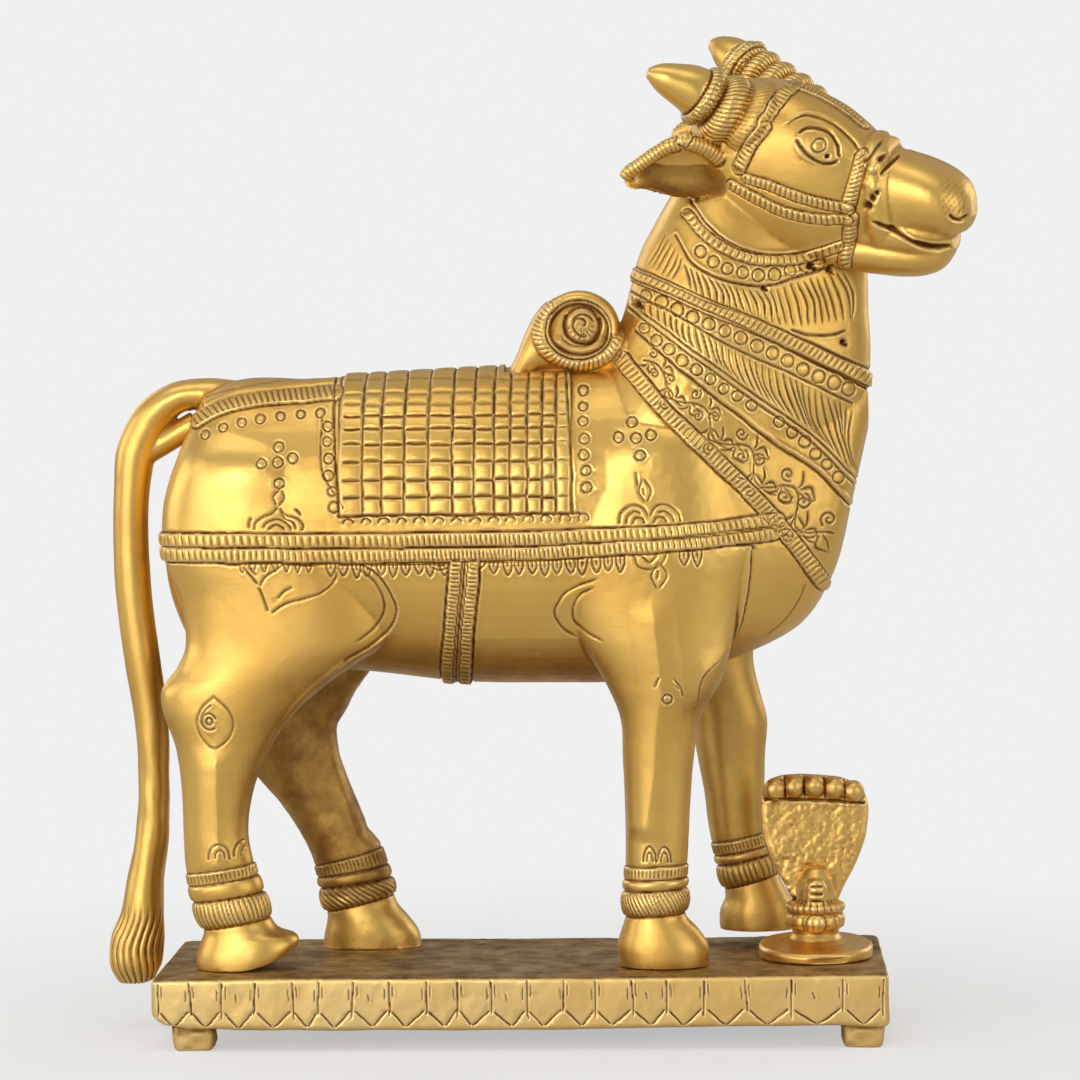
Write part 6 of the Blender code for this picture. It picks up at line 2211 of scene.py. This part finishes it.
def build_floor(settings):
    """Plain pale floor that fades into the background."""
    wide = settings.floor_radius
    bpy.ops.mesh.primitive_circle_add(vertices=96, radius=wide, fill_type="NGON", location=(0, 0, 0))
    floor = bpy.context.active_object
    floor.name = "studio_floor"
    material = bpy.data.materials.new("pale floor")
    material.use_nodes = True
    tree = material.node_tree
    shader = tree.nodes["Principled BSDF"]
    shader.inputs["Base Color"].default_value = (*settings.floor_colour, 1.0)
    shader.inputs["Roughness"].default_value = 0.9
    shader.inputs["Specular IOR Level"].default_value = 0.1
    shown = new_node(tree, "ShaderNodeBsdfDiffuse", (0, -150))
    shown.inputs["Color"].default_value = (*settings.background, 1.0)
    glow = new_node(tree, "ShaderNodeEmission", (0, -300))
    glow.inputs["Color"].default_value = (*settings.background, 1.0)
    place = new_node(tree, "ShaderNodeTexCoord", (-800, 200))
    far = new_node(tree, "ShaderNodeVectorMath", (-600, 200), operation="LENGTH")
    tree.links.new(place.outputs["Object"], far.inputs[0])
    fade = ranged(tree, far.outputs["Value"], 0.14, 0.34, 0.55, 1.0, (-400, 200))
    near_by = new_node(tree, "ShaderNodeMixShader", (300, -200))
    tree.links.new(fade, near_by.inputs["Fac"])
    tree.links.new(shown.outputs["BSDF"], near_by.inputs[1])
    tree.links.new(glow.outputs["Emission"], near_by.inputs[2])
    pick = new_node(tree, "ShaderNodeMixShader", (600, 0))
    path = new_node(tree, "ShaderNodeLightPath", (300, 450))
    tree.links.new(path.outputs["Is Camera Ray"], pick.inputs["Fac"])
    tree.links.new(shader.outputs["BSDF"], pick.inputs[1])
    tree.links.new(near_by.outputs["Shader"], pick.inputs[2])
    tree.links.new(pick.outputs["Shader"], tree.nodes["Material Output"].inputs["Surface"])
    floor.data.materials.append(material)


def build_lights(settings):
    """Soft boxes of the studio."""
    for name, round_angle, height_angle, distance, size, power, colour in LIGHTS:
        turn, rise = math.radians(round_angle), math.radians(height_angle)
        way = Vector((math.sin(turn) * math.cos(rise), -math.cos(turn) * math.cos(rise), math.sin(rise)))
        bpy.ops.object.light_add(type="AREA", location=Vector(LIGHT_AIM) + way * distance)
        lamp = bpy.context.active_object
        lamp.name = f"{name}_light"
        lamp.rotation_mode = "QUATERNION"
        lamp.rotation_quaternion = (-way).to_track_quat("-Z", "Y")
        lamp.data.shape = "RECTANGLE"
        lamp.data.size, lamp.data.size_y = size
        lamp.data.energy = power * settings.light_power
        lamp.data.color = colour


class StageSettings(bpy.types.PropertyGroup):
    """Studio that the figure stands in."""

    lens: bpy.props.FloatProperty(
        name="Lens", description="Focal length", default=140.0, subtype="DISTANCE_CAMERA"
    )
    floor_radius: bpy.props.FloatProperty(
        name="Floor", description="Radius of the floor", default=4.0, unit="LENGTH"
    )
    light_power: bpy.props.FloatProperty(
        name="Light power", description="Share of each lamp's power", default=1.0
    )
    room_light: bpy.props.FloatProperty(
        name="Room light", description="Strength of the room's light", default=1.25
    )
    background: bpy.props.FloatVectorProperty(
        name="Background", description="Colour behind", default=(0.875, 0.875, 0.872), subtype="COLOR"
    )
    floor_colour: bpy.props.FloatVectorProperty(
        name="Floor colour", description="Colour of the floor", default=(0.66, 0.65, 0.64), subtype="COLOR"
    )


class BullSettings(bpy.types.PropertyGroup):
    """Fineness and brass of the bull."""

    cell: bpy.props.FloatProperty(
        name="Cell", description="Size of the skin's cells in mm", default=BASE_CELL, min=0.3
    )
    softening: bpy.props.IntProperty(name="Softening", description="Rounds of smoothing", default=10, min=1)
    triangles: bpy.props.IntProperty(name="Triangles", description="Most triangles kept", default=740000)
    roughness: bpy.props.FloatProperty(
        name="Roughness", description="Roughness of the brass", default=0.37, subtype="FACTOR"
    )
    rubbed: bpy.props.FloatVectorProperty(
        name="Rubbed brass", description="Colour where rubbed", default=(0.78, 0.505, 0.135), subtype="COLOR"
    )
    recess: bpy.props.FloatVectorProperty(
        name="Recesses", description="Colour in the cuts", default=(0.115, 0.038, 0.005), subtype="COLOR"
    )


class PlinthSettings(bpy.types.PropertyGroup):
    """Fineness and brass of the plinth."""

    cell: bpy.props.FloatProperty(
        name="Cell", description="Size of the skin's cells in mm", default=0.29, min=0.2
    )
    triangles: bpy.props.IntProperty(name="Triangles", description="Most triangles kept", default=130000)
    roughness: bpy.props.FloatProperty(
        name="Roughness", description="Roughness of the brass", default=0.42, subtype="FACTOR"
    )
    face: bpy.props.FloatVectorProperty(
        name="Face brass", description="Colour of the cut sides", default=(0.87, 0.63, 0.26), subtype="COLOR"
    )
    top: bpy.props.FloatVectorProperty(
        name="Toned top", description="Colour of the dark top", default=(0.17, 0.082, 0.022), subtype="COLOR"
    )


class ShrineSettings(bpy.types.PropertyGroup):
    """Fineness and brass of the linga group."""

    cell: bpy.props.FloatProperty(
        name="Cell", description="Size of the skin's cells in mm", default=0.3, min=0.2
    )
    triangles: bpy.props.IntProperty(name="Triangles", description="Most triangles kept", default=110000)
    roughness: bpy.props.FloatProperty(
        name="Roughness", description="Roughness of the brass", default=0.36, subtype="FACTOR"
    )
    rubbed: bpy.props.FloatVectorProperty(
        name="Rubbed brass", description="Colour where hands rub", default=(0.80, 0.51, 0.15), subtype="COLOR"
    )


class NANDI_OT_stage(bpy.types.Operator):
    """Build the camera, lights, background and floor"""

    bl_idname = "nandi.stage"
    bl_label = "Studio"

    def execute(self, context):
        settings = context.scene.nandi_stage
        bpy.ops.object.camera_add()
        camera = context.active_object
        camera.name = "photograph_camera"
        camera.data.sensor_width = 36.0
        camera.data.lens = settings.lens
        camera.matrix_world = view_matrix()
        camera.data.clip_start, camera.data.clip_end = 0.05, 50.0
        context.scene.camera = camera
        context.scene.view_settings.view_transform = "Standard"
        build_world(settings)
        build_floor(settings)
        build_lights(settings)
        return {"FINISHED"}


class NANDI_OT_bull(bpy.types.Operator):
    """Cast and chase the bull, parted at the neck, shoulder and legs for fineness"""

    bl_idname = "nandi.bull"
    bl_label = "Bull"

    def execute(self, context):
        settings = context.scene.nandi_bull
        values = {
            "Rubbed colour": (*settings.rubbed, 1.0),
            "Recess colour": (*settings.recess, 1.0),
            "Roughness": settings.roughness,
        }
        material = brass_material("bull brass", shared_group(), values)
        for piece in cast_bull(settings):
            settle_piece(piece, material, "nandi_bull")
        return {"FINISHED"}


class NANDI_OT_plinth(bpy.types.Operator):
    """Cast the plinth and cut its row of petals"""

    bl_idname = "nandi.plinth"
    bl_label = "Plinth"

    def execute(self, context):
        settings = context.scene.nandi_plinth
        values = {
            "Rubbed colour": (*settings.face, 1.0),
            "Warm colour": (0.72, 0.45, 0.12, 1.0),
            "Tarnish and shade colour": (*settings.top, 1.0),
            "Roughness": settings.roughness,
        }
        material = brass_material("plinth brass", shared_group(), values)
        settle_piece(cast_plinth(settings), material, "plinth")
        return {"FINISHED"}


class NANDI_OT_shrine(bpy.types.Operator):
    """Cast the linga on its turned base under the cobra hood"""

    bl_idname = "nandi.shrine"
    bl_label = "Linga and hood"

    def execute(self, context):
        settings = context.scene.nandi_shrine
        values = {"Rubbed colour": (*settings.rubbed, 1.0), "Roughness": settings.roughness}
        material = brass_material("shrine brass", shared_group(), values)
        settle_piece(cast_shrine(settings), material, "naga_lingam")
        return {"FINISHED"}


class NANDI_PT_panel(bpy.types.Panel):
    """Buttons for the figure's castings"""

    bl_label = "Nandi bull"
    bl_idname = "NANDI_PT_panel"
    bl_space_type = "VIEW_3D"
    bl_region_type = "UI"
    bl_category = "Nandi bull"

    def draw(self, context):
        for operator in OPERATORS:
            self.layout.operator(operator.bl_idname)


SETTINGS = (
    ("nandi_stage", StageSettings),
    ("nandi_bull", BullSettings),
    ("nandi_plinth", PlinthSettings),
    ("nandi_shrine", ShrineSettings),
)
OPERATORS = (NANDI_OT_stage, NANDI_OT_plinth, NANDI_OT_shrine, NANDI_OT_bull)


def register():
    """Make the settings, operators and panel known."""
    for name, kind in SETTINGS:
        bpy.utils.register_class(kind)
        setattr(bpy.types.Scene, name, bpy.props.PointerProperty(type=kind))
    for kind in (*OPERATORS, NANDI_PT_panel):
        bpy.utils.register_class(kind)


def unregister():
    """Take them away again."""
    for kind in (NANDI_PT_panel, *reversed(OPERATORS)):
        bpy.utils.unregister_class(kind)
    for name, kind in reversed(SETTINGS):
        delattr(bpy.types.Scene, name)
        bpy.utils.unregister_class(kind)


def main():
    """Build the studio and every piece."""
    register()
    bpy.ops.nandi.stage()
    bpy.ops.nandi.plinth()
    bpy.ops.nandi.shrine()
    bpy.ops.nandi.bull()


if __name__ == "__main__":
    main()
